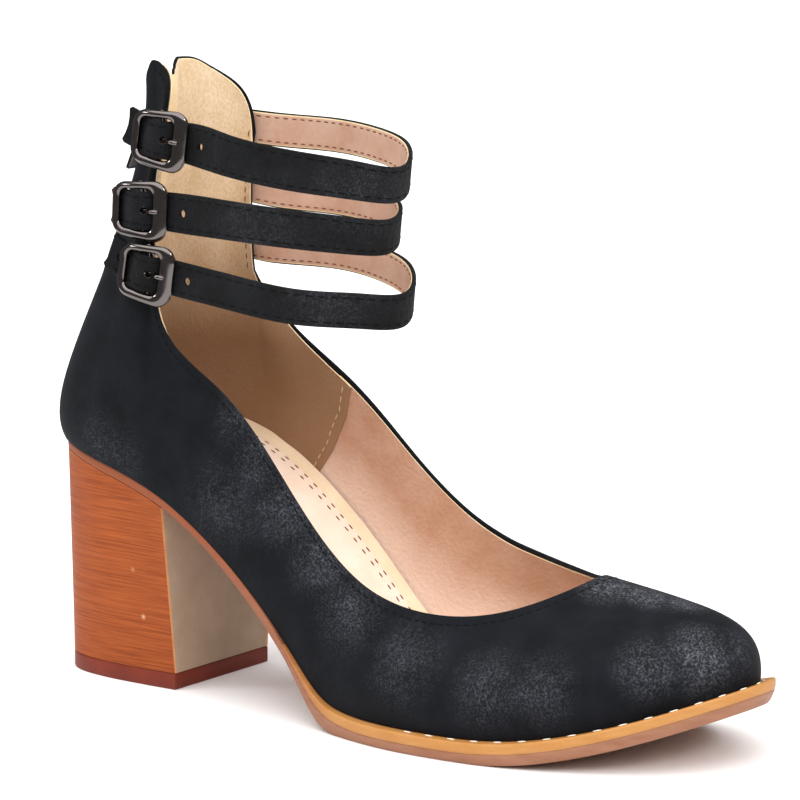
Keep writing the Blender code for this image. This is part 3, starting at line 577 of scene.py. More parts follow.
# The sock's edge strip is a yellower copy of the sock leather: painted light where the strip turns up to the
# wall.
PAINTED_LIGHT_SOCK_EDGE = leather("sock_edge_painted_light", "#ead3b4", "#e3c8a6", 0.9, 0.08, 0.6)
SOLE_LEATHER = leather("pink_tan_sole_leather", "#9c6c52", "#8d5d43", 0.9, 0.12, 0.5, (1.0, 1.0, 4.0),
                       ("#86421f", 0, 62, 114))
MIDSOLE_LEATHER = leather("yellow_tan_sole_leather", "#ba844a", "#b2793d", 0.9, 0.12, 0.5, (1.0, 1.0, 4.0),
                          ("#985c34", 0, 94, 118))
BREAST_BOARD = leather("taupe_heel_board", "#b39b82", "#a79078", 0.8, 0.06, 0.6)
WRAP_EDGE = leather("pale_wrap_edge", "#e0a06c", "#d08c58", 0.8, 0.06, 0.6)
LIFT_RUBBER = leather("red_brown_rubber", "#782a14", "#6a2310", 0.7, 0.08, 0.5)


# %% Stacked heel leather: many thin waxed layers, so fine uneven lines run level round the heel
# Thickness of a layer and size of the broad clouds in millimetres; layers are drawn out level
LAYER = 0.5
LAYER_STRETCH = (0.02, 0.02, 1.0)
HEEL_CLOUD = 16.0


def stacked(name, light, dark, pale, nicks):
    """nicks rows: place and radius of a small pale scuff."""
    made, tree, shader = finish(name, Roughness=0.5, Specular_Ior_Level=0.12)
    where = add(tree, "TexCoord").outputs["Object"]
    level = add(tree, "Mapping", inputs={"Vector": where, "Scale": LAYER_STRETCH})
    layers = add(tree, "TexNoise", inputs={"Vector": level.outputs[0], "Scale": per(LAYER), "Detail": 3.0,
                                           "Roughness": 0.65})
    broad = add(tree, "TexNoise", inputs={"Vector": where, "Scale": per(HEEL_CLOUD), "Detail": 3.0})
    line = add(tree, "MapRange", inputs={"Value": layers.outputs[0], "From Min": 0.36, "From Max": 0.66})
    shade = add(tree, "Math", {"operation": "MULTIPLY_ADD"},
                {0: broad.outputs[0], 1: 0.5, 2: line.outputs[0]})
    amount = add(tree, "MapRange", inputs={"Value": shade.outputs[0], "From Min": -0.2, "From Max": 1.7})
    colour = add(tree, "Mix", RGBA, {0: amount.outputs[0], MIX_A: linear(light), MIX_B: linear(dark)})
    for row in nicks:
        colour = add(tree, "Mix", RGBA, {0: spot_mask(tree, where, *row), MIX_A: colour.outputs[MIX_OUT],
                                         MIX_B: linear(pale)})
    tree.links.new(colour.outputs[MIX_OUT], shader.inputs["Base Color"])
    raise_grain(tree, shader, layers.outputs[0], 0.35, 0.15)
    return made


HEEL_NICKS = (((33, -25.8, 35), 1.5), ((36, -24, 21), 1.2))
STACKED = stacked("stacked_heel_leather", "#b05b2a", "#6c2b0f", "#cc9c7c", HEEL_NICKS)


# %% Metal, zip tape and thread
# Size of the touched patches on metal and of a thread's plies, in millimetres. Real plies are finer than a
# pixel, so they are drawn coarser.
TOUCHED = 3.0
PLY = 2.0


def plated(name, colour, roughness):
    """Plating polished bright, a little uneven where hands touch it."""
    made, tree, shader = finish(name, Metallic=1.0, Base_Color=linear(colour))
    where = add(tree, "TexCoord").outputs["Object"]
    touch = add(tree, "TexNoise", inputs={"Vector": where, "Scale": per(TOUCHED), "Detail": 3.0})
    gloss = add(tree, "MapRange", inputs={"Value": touch.outputs[0], "To Min": 0.6 * roughness,
                                          "To Max": 1.6 * roughness})
    tree.links.new(gloss.outputs[0], shader.inputs["Roughness"])
    return made


def thread(name, colour):
    """Twisted polyester: fine slanting plies with a slight shine."""
    made, tree, shader = finish(name, Roughness=0.8, Specular_Ior_Level=0.15, Base_Color=linear(colour))
    where = add(tree, "TexCoord").outputs["Object"]
    ply = add(tree, "TexWave", inputs={"Vector": where, "Scale": per(PLY), "Distortion": 1.0})
    raise_grain(tree, shader, ply.outputs["Fac"], 0.4, 0.1)
    return made


GUNMETAL = plated("polished_gunmetal", "#6a6462", 0.12)
BLACK_PLATE = plated("black_zip_plating", "#2c2a2a", 0.15)
TEETH = plated("dark_zip_metal", "#6f6c68", 0.3)
BLACK_THREAD = thread("black_thread", "#050506")
BROWN_THREAD = thread("brown_thread", "#7c4a3a")
PALE_THREAD = thread("pale_thread", "#f2ebdd")
TAN_THREAD = thread("tan_thread", "#c4aa84")
ZIP_TAPE = leather("black_zip_tape", "#141416", "#0d0d0f", 0.6, 0.2, 0.9)

# %% [markdown]
# ## The suede upper
# The real upper is one thin hide, pulled over the last, with its topline edge folded over. A closed strip is
# laid round the foot: up the outer face, over the fold and down the inner face. It starts and ends at the
# back, where a butt seam runs up to the split for the zip. Main creases are soft troughs and ridges given in
# a table. A knife then cuts the inner half's front edge, down to a sharp corner at the quarter, and the
# cuff's two back corners at the split.

# %% Creases
Crease = namedtuple("Crease", "t0 v0 t1 v1 width depth")
CREASES = (
    Crease(4.6, 0.25, 5.3, 0.75, 7.0, -0.5),
    Crease(3.6, 0.30, 3.9, 0.62, 5.0, 0.35),
    Crease(7.6, 0.35, 8.4, 0.80, 6.0, -0.4),
    Crease(11.4, 0.62, 13.0, 0.70, 7.0, -0.35),
    Crease(10.2, 0.30, 11.6, 0.34, 8.0, 0.3),
    Crease(18.2, 0.35, 17.6, 0.80, 6.0, -0.4),
    Crease(21.2, 0.30, 20.8, 0.75, 7.0, -0.5),
    Crease(25.5, 0.99, 25.5, 0.62, 1.8, 1.5),
    Crease(25.85, 0.99, 25.9, 0.70, 2.0, -0.7),
)
print(len(CREASES), "creases, up to", max(abs(row.depth) for row in CREASES), "mm deep")


def creases(points):
    """How far the creases move each point of the wall outward."""
    moved = np.zeros(len(points))
    for row in CREASES:
        start, end = wall_at(np.array((row.t0, row.t1)), np.array((row.v0, row.v1)))
        run = end - start
        share = np.clip((points - start) @ run / (run @ run), 0, 1)
        away = np.linalg.norm(points - start - share[:, None] * run, axis=1)
        moved += row.depth * np.exp(-(away / row.width) ** 2)
    return moved


def wall_section(loop_place, u, w, rows, thick, base, top_gap, foot):
    """Closed section of a sheet on the wall: up its outer face, over its top edge and down its inner face."""
    up_rows, fold_rows, down_rows = rows
    step = np.rint(w * (sum(rows) + 1))
    last = step == sum(rows) + 1
    climb = np.clip(step / up_rows, 0, 1)
    fold = np.where(last, 0, np.clip((step - up_rows) / fold_rows, 0, 1)) * math.pi
    descend = np.where(last, 1, np.clip((step - up_rows - fold_rows) / down_rows, 0, 1))
    edge = below_top(loop_place(u, np.ones(len(u))), top_gap)
    v = foot + (edge - foot) * climb * (1 - descend)
    t = loop_place(u, v)
    points = wall_at(t, v)
    up, out = wall_axes(t, v)[1:]
    off = base + 0.5 * thick * (np.cos(fold) - 1) + creases(points)
    return points + out * off[:, None] + up * (0.5 * thick * np.sin(fold))[:, None]


# %% Suede upper, with its front edge and back corners cut
SUEDE_THICK = 1.0
BACK_SEAM = 0.006
UPPER_ROWS = (56, 6, 30)
UPPER_COLUMNS = LOOP_ROWS * 13


def whole_loop(u, v):
    return BACK_SEAM + u * (LOOP_ROWS - 2 * BACK_SEAM)


def upper_shape(u, w):
    return wall_section(whole_loop, u, w, UPPER_ROWS, SUEDE_THICK, 0.0, SUEDE_THICK / 2, 0.0)


# Back corners at the split, place across the foot and height: rounded on the inner half, cut to a leaf's
# tip on the outer half
INNER_CORNER = ((1.5, 187), (1.5, 180.4), (3.85, 180.4), (4.1, 181.8), (4.8, 183.0), (5.9, 183.8),
                (7.4, 184.3), (7.4, 187))
OUTER_CORNER = ((-2.5, 188), (-2.5, 174.0), (-6.0, 174.8), (-9.0, 176.4), (-11.0, 178.8), (-12.3, 181.6),
                (-13.2, 184.6), (-13.6, 188))
CORNER_X = (18.0, 40.0)


def trim_front(made, ahead):
    """Cut a sheet at the inner half's front edge, or so far ahead of it."""
    near, far = FRONT_TRIM_Y
    cut(made, prism([(x + ahead, near, z) for x, z in FRONT_TRIM], (0, far - near, 0)))


def trim_corner(made, corner):
    """Cut a sheet's back corner."""
    near, far = CORNER_X
    cut(made, prism([(near, y, z) for y, z in corner], (far - near, 0, 0)))


upper_build = sheet(UPPER_COLUMNS, sum(UPPER_ROWS) + 1, upper_shape)
upper = piece("suede_upper", close(upper_build), BLACK_SUEDE, ("upper",))
trim_front(upper, 0.0)
trim_corner(upper, INNER_CORNER)
trim_corner(upper, OUTER_CORNER)

# %% [markdown]
# ## Linings
# Inside, a tan microsuede lines the heel and cuff in two halves, and a pinkish leather lines the vamp. Both
# stop just under the folded topline, so a pale cut edge shows. The tan sheet lies over the leather's end and
# is sewn down there. A pale strip behind the zip keeps the teeth off the ankle.

# %% Vamp lining and cuff linings
LINING_ROWS = (12, 2, 34)
VAMP_COLUMNS = 150
CUFF_COLUMNS = 84
VAMP_LINING_THICK = 0.35
CUFF_LINING_THICK = 0.45
LINING_FOOT = 0.03
# Loop place, and how far below the topline the lining ends there
LINING_GAP = ((0, 3.4, 5.2, 20.2, 21.0, 22.0, 26), (0.5, 0.5, 1.6, 1.8, 0.3, 0.9, 0.9))
# Height on the wall and loop place of the join between the two linings on the inner side
JOIN_V = (0.0, 0.2, 0.45, 0.75, 1.0)
JOIN_T = (20.95, 20.68, 20.36, 20.06, 19.93)
OVERLAP = 0.15
LINING_AHEAD = 0.6
CUFF_BASE = -SUEDE_THICK - VAMP_LINING_THICK
INSIDE = CUFF_BASE - CUFF_LINING_THICK


def lining_gap(t):
    return np.interp(t, *LINING_GAP)


def join_place(v):
    return np.interp(v, JOIN_V, JOIN_T)


def vamp_place(u, v):
    inner = join_place(v) + OVERLAP
    return LOOP_ROWS - inner + u * (2 * inner - LOOP_ROWS)


def cuff_place_outer(u, v):
    return BACK_SEAM + u * (LOOP_ROWS - join_place(v) - BACK_SEAM)


def cuff_place_inner(u, v):
    return LOOP_ROWS - cuff_place_outer(u, v)


def lining_sheet(loop_place, columns, thick, base):
    def shape(u, w):
        return wall_section(loop_place, u, w, LINING_ROWS, thick, base, lining_gap, LINING_FOOT)
    build = sheet(columns, sum(LINING_ROWS) + 1, shape)
    spread = build.loops.layers.uv["flat_sheet"]
    rim_low = (LINING_ROWS[0] - 0.1) / (sum(LINING_ROWS) + 1)
    rim_high = (LINING_ROWS[0] + LINING_ROWS[1] + 0.1) / (sum(LINING_ROWS) + 1)
    for face in build.faces:
        w = [corner[spread].uv.y for corner in face.loops]
        face.material_index = int(min(w) > rim_low and max(w) < rim_high)
    return close(build)


piece("vamp_lining", lining_sheet(vamp_place, VAMP_COLUMNS, VAMP_LINING_THICK, -SUEDE_THICK),
      (VAMP_LINING, RAW_EDGE))
for side, loop_place in (("outer", cuff_place_outer), ("inner", cuff_place_inner)):
    half = piece("cuff_lining_" + side, lining_sheet(loop_place, CUFF_COLUMNS, CUFF_LINING_THICK, CUFF_BASE),
                 (TAN_MICROSUEDE, RAW_EDGE))
    trim_corner(half, OUTER_CORNER if side == "outer" else INNER_CORNER)
    if side == "inner":
        trim_front(half, LINING_AHEAD)

# %% Strip behind the zip
GUARD_Z = (117.0, 179.0)
GUARD_Y = (-7.0, 2.8)
GUARD_DEPTH = (2.5, 3.0)
GUARD_BEND = 0.03
STRIP_COLUMNS = 40
# Steps round a flat section at its four corners, and at the first one again
FLAT_STEPS = (0, 4, 5, 9, 10)
BACK_EDGE = np.array((LOOP_ROWS,))
BACK_HEIGHTS = np.linspace(0.2, 1, 60)


def back_x(z):
    """Place along the foot of the cuff's back edge at height z."""
    line = wall_grid(BACK_EDGE, BACK_HEIGHTS)[0]
    return np.interp(z, line[:, 2], line[:, 0])


def flat_strip(heights, wide, deep, bend):
    """Upright strip in the split; returns its shape for a sheet."""
    def shape(u, w):
        z = heights[0] + u * (heights[1] - heights[0])
        step = np.rint(w * FLAT_STEPS[-1])
        y = np.interp(step, FLAT_STEPS, (wide[0], wide[1], wide[1], wide[0], wide[0]))
        depth = np.interp(step, FLAT_STEPS, (deep[0], deep[0], deep[1], deep[1], deep[0]))
        return np.stack((back_x(z) + depth + bend * y * y, y, z), -1)
    return close(sheet(STRIP_COLUMNS, FLAT_STEPS[-1], shape))


piece("zip_guard", flat_strip(GUARD_Z, GUARD_Y, GUARD_DEPTH, GUARD_BEND), RAW_EDGE)

# %% [markdown]
# ## Stitches
# A lockstitch shows as a row of short rounded dashes, sunk a little into the leather. Each is one small
# sphere, drawn out along the seam, and a whole seam is one mesh. Spheres with few faces are enough at this
# size.

# %% Stitch helpers
Stitch = namedtuple("Stitch", "pitch long wide high")
STITCH_STEP = 0.3


def run_of(line):
    """Distance along a line at each of its points."""
    return np.concatenate(((0.0,), np.cumsum(np.linalg.norm(np.diff(line, axis=0), axis=1))))


def read_at(at, run, values):
    """Values that go with a line's points, read at distances along it."""
    return np.stack([np.interp(at, run, column) for column in values.T], -1)


def turned(*axes):
    """Matrix that turns and sizes a shape by three directions."""
    return Matrix(np.stack(axes, -1).tolist()).to_4x4()


def stitches(name, lines, stitch, thread_finish):
    """Stitches along lines, each a pair of places and outward directions."""
    build = bmesh.new()
    long, wide, high = (0.5 * MM * part for part in stitch[1:])
    for line, outs in lines:
        run = run_of(line)
        count = max(int(run[-1] / stitch.pitch), 1)
        at = (np.arange(count) + 0.5) * run[-1] / count
        along = unit(read_at(at + STITCH_STEP, run, line) - read_at(at - STITCH_STEP, run, line))
        side = unit(np.cross(read_at(at, run, outs), along))
        out = np.cross(along, side)
        for spot, a, s, o in zip(read_at(at, run, line), along, side, out):
            bmesh.ops.create_uvsphere(build, u_segments=6, v_segments=5, radius=1.0,
                                      matrix=moved_to(spot) @ turned(s * wide, o * high, a * long))
    piece(name, build, thread_finish, crease=180.0)


def wall_seam(t, v, off):
    """Seam line on the wall, moved outward, with its outward directions; a negative move faces inside."""
    points = wall_at(t, v)
    out = wall_axes(t, v)[2]
    points = points + out * (creases(points) + off)[:, None]
    return points, out if off >= 0 else -out


# %% Topline seam, and the seams of the linings
TOP_SEAM = 3.0
TOP_SEAM_RUNS = ((1.5, 20.7), (23.0, LOOP_ROWS - 0.9))
TOP_STITCH = Stitch(2.6, 2.0, 0.5, 0.3)
JOIN_STITCH = Stitch(2.8, 2.0, 0.5, 0.3)
JOIN_SEAM = 0.09
JOIN_RUN = (0.1, 0.93)
# Seams behind the inner half's front edge, outside and inside, along the upright stretch of its cut
TRIM_SEAM = (3.0, 1.3)
TRIM_UPRIGHT = np.array(FRONT_TRIM[:8])

top_lines = []
for start, end in TOP_SEAM_RUNS:
    seam_t = np.linspace(start, end, 600)
    top_lines.append(wall_seam(seam_t, below_top(seam_t, TOP_SEAM), 0.0))
edge_z = np.linspace(TRIM_UPRIGHT[1, 1], TRIM_UPRIGHT[-1, 1], 40)
edge_x = np.interp(-edge_z, -TRIM_UPRIGHT[:, 1], TRIM_UPRIGHT[:, 0])
outward = np.tile((0.0, 1.0, 0.0), (len(edge_z), 1))
outside, inside = (np.array([cuff_point(x - back, z, 1, off) for x, z in zip(edge_x, edge_z)])
                   for back, off in zip(TRIM_SEAM, (0.0, INSIDE)))
top_lines.append((outside, outward))
stitches("topline_stitches", top_lines, TOP_STITCH, BLACK_THREAD)

stitches("lining_stitches", [(inside, -outward)], JOIN_STITCH, BROWN_THREAD)
join_v = np.linspace(*JOIN_RUN, 120)
join_line = wall_seam(join_place(join_v) + JOIN_SEAM, join_v, INSIDE)
stitches("join_stitches", [join_line], JOIN_STITCH, TAN_THREAD)

# %% [markdown]
# ## Sole, insole and heel
# The sole's two layers and the insole have the last's outline. A closed section goes across the top, down one
# side, back underneath and up the other side, and the last's outline gives both sides. A high power of the
# distance from half height draws the edges in, which rounds them like a trimmed leather edge.

# %% Sole layers
SOLE_ROWS = (14, 8)
SOLE_STEPS = 2 * sum(SOLE_ROWS)
OUTSOLE_COLUMNS = 150
MIDSOLE_COLUMNS = 110
EDGE_DRAW = 0.3
EDGE_POWER = 6
LAYER_GAP = 0.05


def section_steps(w, across, side):
    """Step round a closed section with so many steps across and down, its corners, and its way down."""
    corners = np.cumsum((0, across, side, across, side))
    step = np.rint(w * corners[-1])
    return step, corners, np.interp(step, corners, (0, 0, 1, 1, 0))


def sole_section(t, w, top_off, low_off, top, low):
    """Closed section across the foot; offsets run from the feather line, top and low are heights."""
    step, corners, down = section_steps(w, *SOLE_ROWS)
    share = np.interp(step, corners, (0, 1, 1, 0, 0))
    draw = EDGE_DRAW * np.abs(2 * down - 1) ** EDGE_POWER
    sides = []
    for loop_t in (t, LOOP_ROWS - t):
        sides.append(outline(loop_t, top_off(loop_t) * (1 - down) + low_off(loop_t) * down - draw))
    flat = sides[0] * (1 - share[:, None]) + sides[1] * share[:, None]
    x, y = flat[:, 0], flat[:, 1]
    return np.stack((x, y, top(x, y) * (1 - down) + low(x, y) * down), -1)


def ledge(t):
    return around(t)[:, 9]


def tucked(t):
    rows = around(t)
    return rows[:, 9] - np.interp(rows[:, 0], TUCK[0], TUCK[1])


def mid_thickness(x):
    return np.maximum(straight("mid", x), MID_LEAST)


def midsole_low(x, y):
    return seat(x, y) - mid_thickness(x)


def outsole_top(x, y):
    return seat(x, y) - np.where(straight("mid", x) > 0, mid_thickness(x) + LAYER_GAP, 0.0)


half_t = np.linspace(0, SIDE_ROWS, 200)
mid_t = float(np.interp(MID_START, around(half_t)[:, 0], half_t))
outsole = sheet(OUTSOLE_COLUMNS, SOLE_STEPS, lambda u, w: sole_section(
    u * SIDE_ROWS, w, ledge, tucked, outsole_top, tread))
piece("outsole_leather", close(outsole), SOLE_LEATHER, ("outsole",))
midsole = sheet(MIDSOLE_COLUMNS, SOLE_STEPS, lambda u, w: sole_section(
    mid_t + u * (SIDE_ROWS - mid_t), w, ledge, ledge, seat, midsole_low))
piece("midsole_leather", close(midsole), MIDSOLE_LEATHER, ("midsole",))

# %% Welt stitches that peep out along the feather line
WELT_OFF = 0.9
WELT_UP = 0.1
WELT_RUN = (8.4, 17.6)
WELT_STITCH = Stitch(7.0, 2.6, 0.5, 0.4)


def level_seam(run, count, off, height):
    """Seam that follows the feather line at a height, with its upward directions."""
    flat = outline(np.linspace(*run, count), np.full(count, off))
    return np.column_stack((flat, height(flat[:, 0], flat[:, 1]))), np.tile(UP, (count, 1))


welt_line = level_seam(WELT_RUN, 300, WELT_OFF, lambda x, y: seat(x, y) + WELT_UP)
stitches("welt_stitches", [welt_line], WELT_STITCH, PALE_THREAD)

# %% Insole: its sock rises a little at the wall, with two rows of running stitch
SOCK_INSET = 1.5
SOCK_EDGE_WIDE = 3.2
SOCK_EDGE_MOST = 0.45
SOCK_RISE = 2.2
# Steps across an edge strip and across the middle, and down a side
SOCK_ROWS = (8, 26, 5)
SOCK_STEPS = 2 * (2 * SOCK_ROWS[0] + SOCK_ROWS[1] + SOCK_ROWS[2])
SOCK_COLUMNS = 140


def sock_top(x, y, rise=0.0):
    return seat(x, y) + straight("bed", x) + rise


def sock_shape(u, w):
    """Across the top from edge strip to edge strip, down, back underneath and up again."""
    strip, middle, side = SOCK_ROWS
    across = 2 * strip + middle
    step, corners, down = section_steps(w, across, side)
    column = np.interp(step, corners, (0, across, across, 0, 0))
    t = u * SIDE_ROWS
    sides = [outline(loop_t, np.full(len(t), -SOCK_INSET)) for loop_t in (t, LOOP_ROWS - t)]
    width = np.maximum(np.linalg.norm(sides[1] - sides[0], axis=1), 1e-6)
    edge = np.minimum(SOCK_EDGE_WIDE / width, SOCK_EDGE_MOST)
    inner = edge + (1 - 2 * edge) * (column - strip) / middle
    share = np.where(column < strip, edge * column / strip,
                     np.where(column > strip + middle, 1 - edge * (across - column) / strip, inner))
    flat = sides[0] * (1 - share[:, None]) + sides[1] * share[:, None]
    x, y = flat[:, 0], flat[:, 1]
    near_edge = np.clip(1 - np.minimum(share, 1 - share) / edge, 0, 1)
    top = sock_top(x, y, SOCK_RISE * near_edge ** 2)
    return np.stack((x, y, top * (1 - down) + (seat(x, y) + GAP) * down), -1)


sock = sheet(SOCK_COLUMNS, SOCK_STEPS, sock_shape)
spread = sock.loops.layers.uv["flat_sheet"]
# Edge strips get the yellower finish, painted light where the sock turns up to the wall.
for face in sock.faces:
    at = np.mean([corner[spread].uv.y for corner in face.loops]) * SOCK_STEPS
    face.material_index = int(not SOCK_ROWS[0] < at < SOCK_ROWS[0] + SOCK_ROWS[1])
piece("sock", close(sock), (SOCK_LEATHER, PAINTED_LIGHT_SOCK_EDGE), ("insole",))

SOCK_SEAMS = (-5.2, -7.2)
SOCK_SEAM_RUNS = ((3.0, 9.5), (16.5, 23.0))
RUNNING_STITCH = Stitch(4.4, 2.0, 0.7, 0.24)
sock_lines = [level_seam(run, 160, off, sock_top) for off in SOCK_SEAMS for run in SOCK_SEAM_RUNS]
stitches("sock_stitches", sock_lines, RUNNING_STITCH, BROWN_THREAD)

# %% Heel: a wrap of thin leather layers round a core, on a wear plate
BREAST_X = 46.6
BASE_BACK_X = -1.6
BASE_HALF = 22.4
BASE_POWER = 3.6
LIFT = 5.0
LIFT_GAP = 0.1
HEEL_INSET = ((-4, 20, 47), (-1.2, -0.7, -0.2))
WRAP = 0.9
HEEL_POINTS = 81
HEEL_STEP = 0.004


def even(line, count):
    """Points spaced evenly along a line."""
    run = run_of(line)
    return read_at(np.linspace(0, run[-1], count), run, line)


angles = np.linspace(math.pi / 2, 0, 400)
base_x = BREAST_X - (BREAST_X - BASE_BACK_X) * np.sin(angles) ** (2 / BASE_POWER)
base_y = BASE_HALF * np.cos(angles) ** (2 / BASE_POWER)
heel_foot = even(np.stack((base_x, base_y), -1), HEEL_POINTS)
seat_t = np.linspace(0, np.interp(BREAST_X, around(half_t)[:, 0], half_t), 200)
seat_in = np.interp(around(seat_t)[:, 0], *HEEL_INSET)
heel_tops = [even(outline(t, seat_in), HEEL_POINTS) for t in (seat_t, LOOP_ROWS - seat_t)]


def heel_line(a, h):
    """Plan place on the heel's side: a is -1 at the outer breast corner and 1 at the inner, h goes up from 0
    to 1."""
    share = np.linspace(0, 1, HEEL_POINTS)
    found = []
    for k in (0, 1):
        foot = np.interp(np.abs(a), share, heel_foot[:, k]) * (np.where(a < 0, -1, 1) if k else 1)
        top = np.where(a < 0, np.interp(np.abs(a), share, heel_tops[0][:, k]),
                       np.interp(np.abs(a), share, heel_tops[1][:, k]))
        found.append(foot * (1 - h) + top * h)
    return np.stack(found, -1)


def heel_side(a, h, inset):
    """Place on the heel's side, moved inward."""
    line = heel_line(a, h)
    ahead, behind = (heel_line(np.clip(a + step, -1, 1), h) for step in (HEEL_STEP, -HEEL_STEP))
    along = unit(ahead - behind)
    line = line + inset[:, None] * np.stack((along[:, 1], -along[:, 0]), -1)
    top = tread(line[:, 0], line[:, 1]) - LIFT_GAP
    return np.column_stack((line, LIFT * (1 - h) + top * h))


# Steps round the wrap's section at its four corners, and at the first one again
WRAP_STEPS = (0, 24, 25, 49, 50)
WRAP_COLUMNS = 160


def wrap_shape(u, w):
    step = np.rint(w * WRAP_STEPS[-1])
    rise = np.interp(step, WRAP_STEPS, (0, 1, 1, 0, 0))
    inset = np.interp(step, WRAP_STEPS, (0, 0, WRAP, WRAP, 0))
    return heel_side(2 * u - 1, rise, inset)


wrap = close(sheet(WRAP_COLUMNS, WRAP_STEPS[-1], wrap_shape))
for face in wrap.faces:
    face.material_index = int(face.normal.x > 0.8)
piece("heel_wrap", wrap, (STACKED, WRAP_EDGE), ("heel_block",))

# Share of the core's outline that lies under the wrap, and the core's columns and rows
CORE_SIDE = 0.8
CORE_GRID = (100, 24)


def core_shape(u, w):
    """Round the sides, then straight back across the breast."""
    inset = np.full(len(u), WRAP)
    side = heel_side(2 * np.clip(u / CORE_SIDE, 0, 1) - 1, w, inset)
    ends = [heel_side(np.full(len(u), end), w, inset) for end in (1.0, -1.0)]
    share = np.clip((u - CORE_SIDE) / (1 - CORE_SIDE), 0, 1)[:, None]
    return np.where((u > CORE_SIDE)[:, None], ends[0] * (1 - share) + ends[1] * share, side)


piece("heel_core", close(sheet(*CORE_GRID, core_shape)), BREAST_BOARD)

LIFT_ROUND = 0.35
LEVEL = 0.1
lift_line = np.concatenate((heel_foot[::-2] * (1, -1), heel_foot[2::2]))
lift = prism([(x, y, 0.0) for x, y in lift_line], (0, 0, LIFT - LIFT_GAP))
rims = [edge for edge in lift.edges if abs(edge.verts[0].co.z - edge.verts[1].co.z) < LEVEL * MM]
round_edges(lift, rims, LIFT_ROUND, 2)
piece("wear_plate", lift, LIFT_RUBBER, ("top_lift",))

# %% [markdown]
# ## Straps
# Each strap is two layers: black nubuck outside and pink leather inside, sewn near both edges. It runs from
# the inner cuff round the ankle into its buckle. Two edge lines carry a closed section with rounded edges.

# %% Strap routes
STRAP_WIDTH = 10.2
TIP_WIDTH = 10.8
STRAP_THICK = 1.5
LOOP_CENTRE_X = 62.0
LOOP_HALF = 26.8
LOOP_SHIFT_Y = 0.8
STRAP_STAND = 0.3
# Places of the sewn end along the foot, the place where it reaches its sewn height, and its slope
SEWN_X = (31.0, 35.0, 39.0)
SEWN_LEVEL_X = 41.0
SEWN_DROP = 0.1
STRAP_LEAN = 6.0
# reach is the front of the strap's loop; sewn, far, front and near are heights on its way; tip is how far it
# goes past the buckle's centre, rising by lift; wide is its width at the buckle
Strap = namedtuple("Strap", "name reach sewn far front near tip lift wide buckle_x buckle_y buckle_z turn "
                            "pitch")
STRAPS = (
    Strap("top", 111.0, 162.5, 161.3, 151.8, 157.3, 12.4, 2.0, 12.0, 45.0, -25.5, 163.1, 8.0, 8.0),
    Strap("middle", 107.2, 144.3, 142.8, 136.6, 140.4, 10.5, 0.0, 11.4, 39.5, -28.0, 142.5, 8.0, 3.0),
    Strap("bottom", 112.3, 127.0, 126.6, 115.9, 118.0, 14.0, 3.8, 10.4, 42.8, -29.6, 124.6, 8.0, 9.0),
)
# Way round the ankle: angle, how much it has widened, then the shares of the sewn, far, front, near and
# buckle heights
STRAP_WAY = (
    (108, 0.0, 0.5, 0.5, 0.0, 0.0, 0.0),
    (82, 0.0, 0.0, 1.0, 0.0, 0.0, 0.0),
    (55, 0.0, 0.0, 0.8, 0.2, 0.0, 0.0),
    (27, 0.0, 0.0, 0.42, 0.58, 0.0, 0.0),
    (0, 0.1, 0.0, 0.0, 1.0, 0.0, 0.0),
    (-27, 0.5, 0.0, 0.0, 0.7, 0.3, 0.0),
    (-55, 0.8, 0.0, 0.0, 0.2, 0.8, 0.0),
    (-80, 1.0, 0.0, 0.0, 0.0, 0.6, 0.4),
)
BUCKLE_STATIONS = (9.5, 7.8, 5.8, 3.9, 2.0, 0.0, -2.0, -3.9, -5.8, -7.8, -9.5)
FRAME_ALONG = 7.8
STRAP_UNDER = -2.35
STRAP_OVER = 1.5


def buckle_axes(row):
    """Centre of a strap's buckle and its directions along the strap, across it and outward."""
    turn, pitch = math.radians(row.turn), math.radians(row.pitch)
    along = np.array((math.cos(turn) * math.cos(pitch), math.sin(turn) * math.cos(pitch), -math.sin(pitch)))
    out = np.array((math.sin(turn), -math.cos(turn), 0.0))
    return np.array((row.buckle_x, row.buckle_y, row.buckle_z)), along, np.cross(out, along), out


def at_buckle(row, along, across, out):
    centre, a, c, o = buckle_axes(row)
    return centre + along * a + across * c + out * o


def strap_wave(along):
    """Outward place of the strap: under the end bars, over the centre bar."""
    inside = np.clip(abs(along) / FRAME_ALONG, 0, 1)
    return STRAP_UNDER + (STRAP_OVER - STRAP_UNDER) * math.cos(inside * math.pi / 2) ** 2


def strap_edges(row):
    """Lower and upper edge of a strap from its sewn end to its tip."""
    half = STRAP_WIDTH / 2
    wide = row.wide / 2
    off = GAP + STRAP_THICK / 2 + STRAP_STAND
    low, high = [], []
    for x in SEWN_X:
        z = row.sewn + SEWN_DROP * (SEWN_LEVEL_X - x)
        low.append(cuff_point(x, z - half, 1, off))
        high.append(cuff_point(x, z + half, 1, off))
    lean = math.radians(STRAP_LEAN)
    heights = np.array((row.sewn, row.far, row.front, row.near, row.buckle_z))
    for angle, widened, *shares in STRAP_WAY:
        a = math.radians(angle)
        stand = (half + widened * (wide - half)) * np.array((math.sin(lean), 0, math.cos(lean)))
        x = LOOP_CENTRE_X + (row.reach - LOOP_CENTRE_X) * math.cos(a)
        spot = np.array((x, LOOP_SHIFT_Y + LOOP_HALF * math.sin(a), heights @ shares))
        low.append(spot - stand)
        high.append(spot + stand)
    for along in (*BUCKLE_STATIONS, -row.tip):
        half = np.interp(along, (0, BUCKLE_STATIONS[0]), (min(wide, TIP_WIDTH / 2), wide))
        past = np.clip(-along / row.tip, 0, 1)
        lift = row.lift * past ** 2
        turn = row.lift * past * half / row.tip
        low.append(at_buckle(row, along - turn, lift - half, strap_wave(along)))
        high.append(at_buckle(row, along + turn, lift + half, strap_wave(along)))
    return np.array(low), np.array(high)


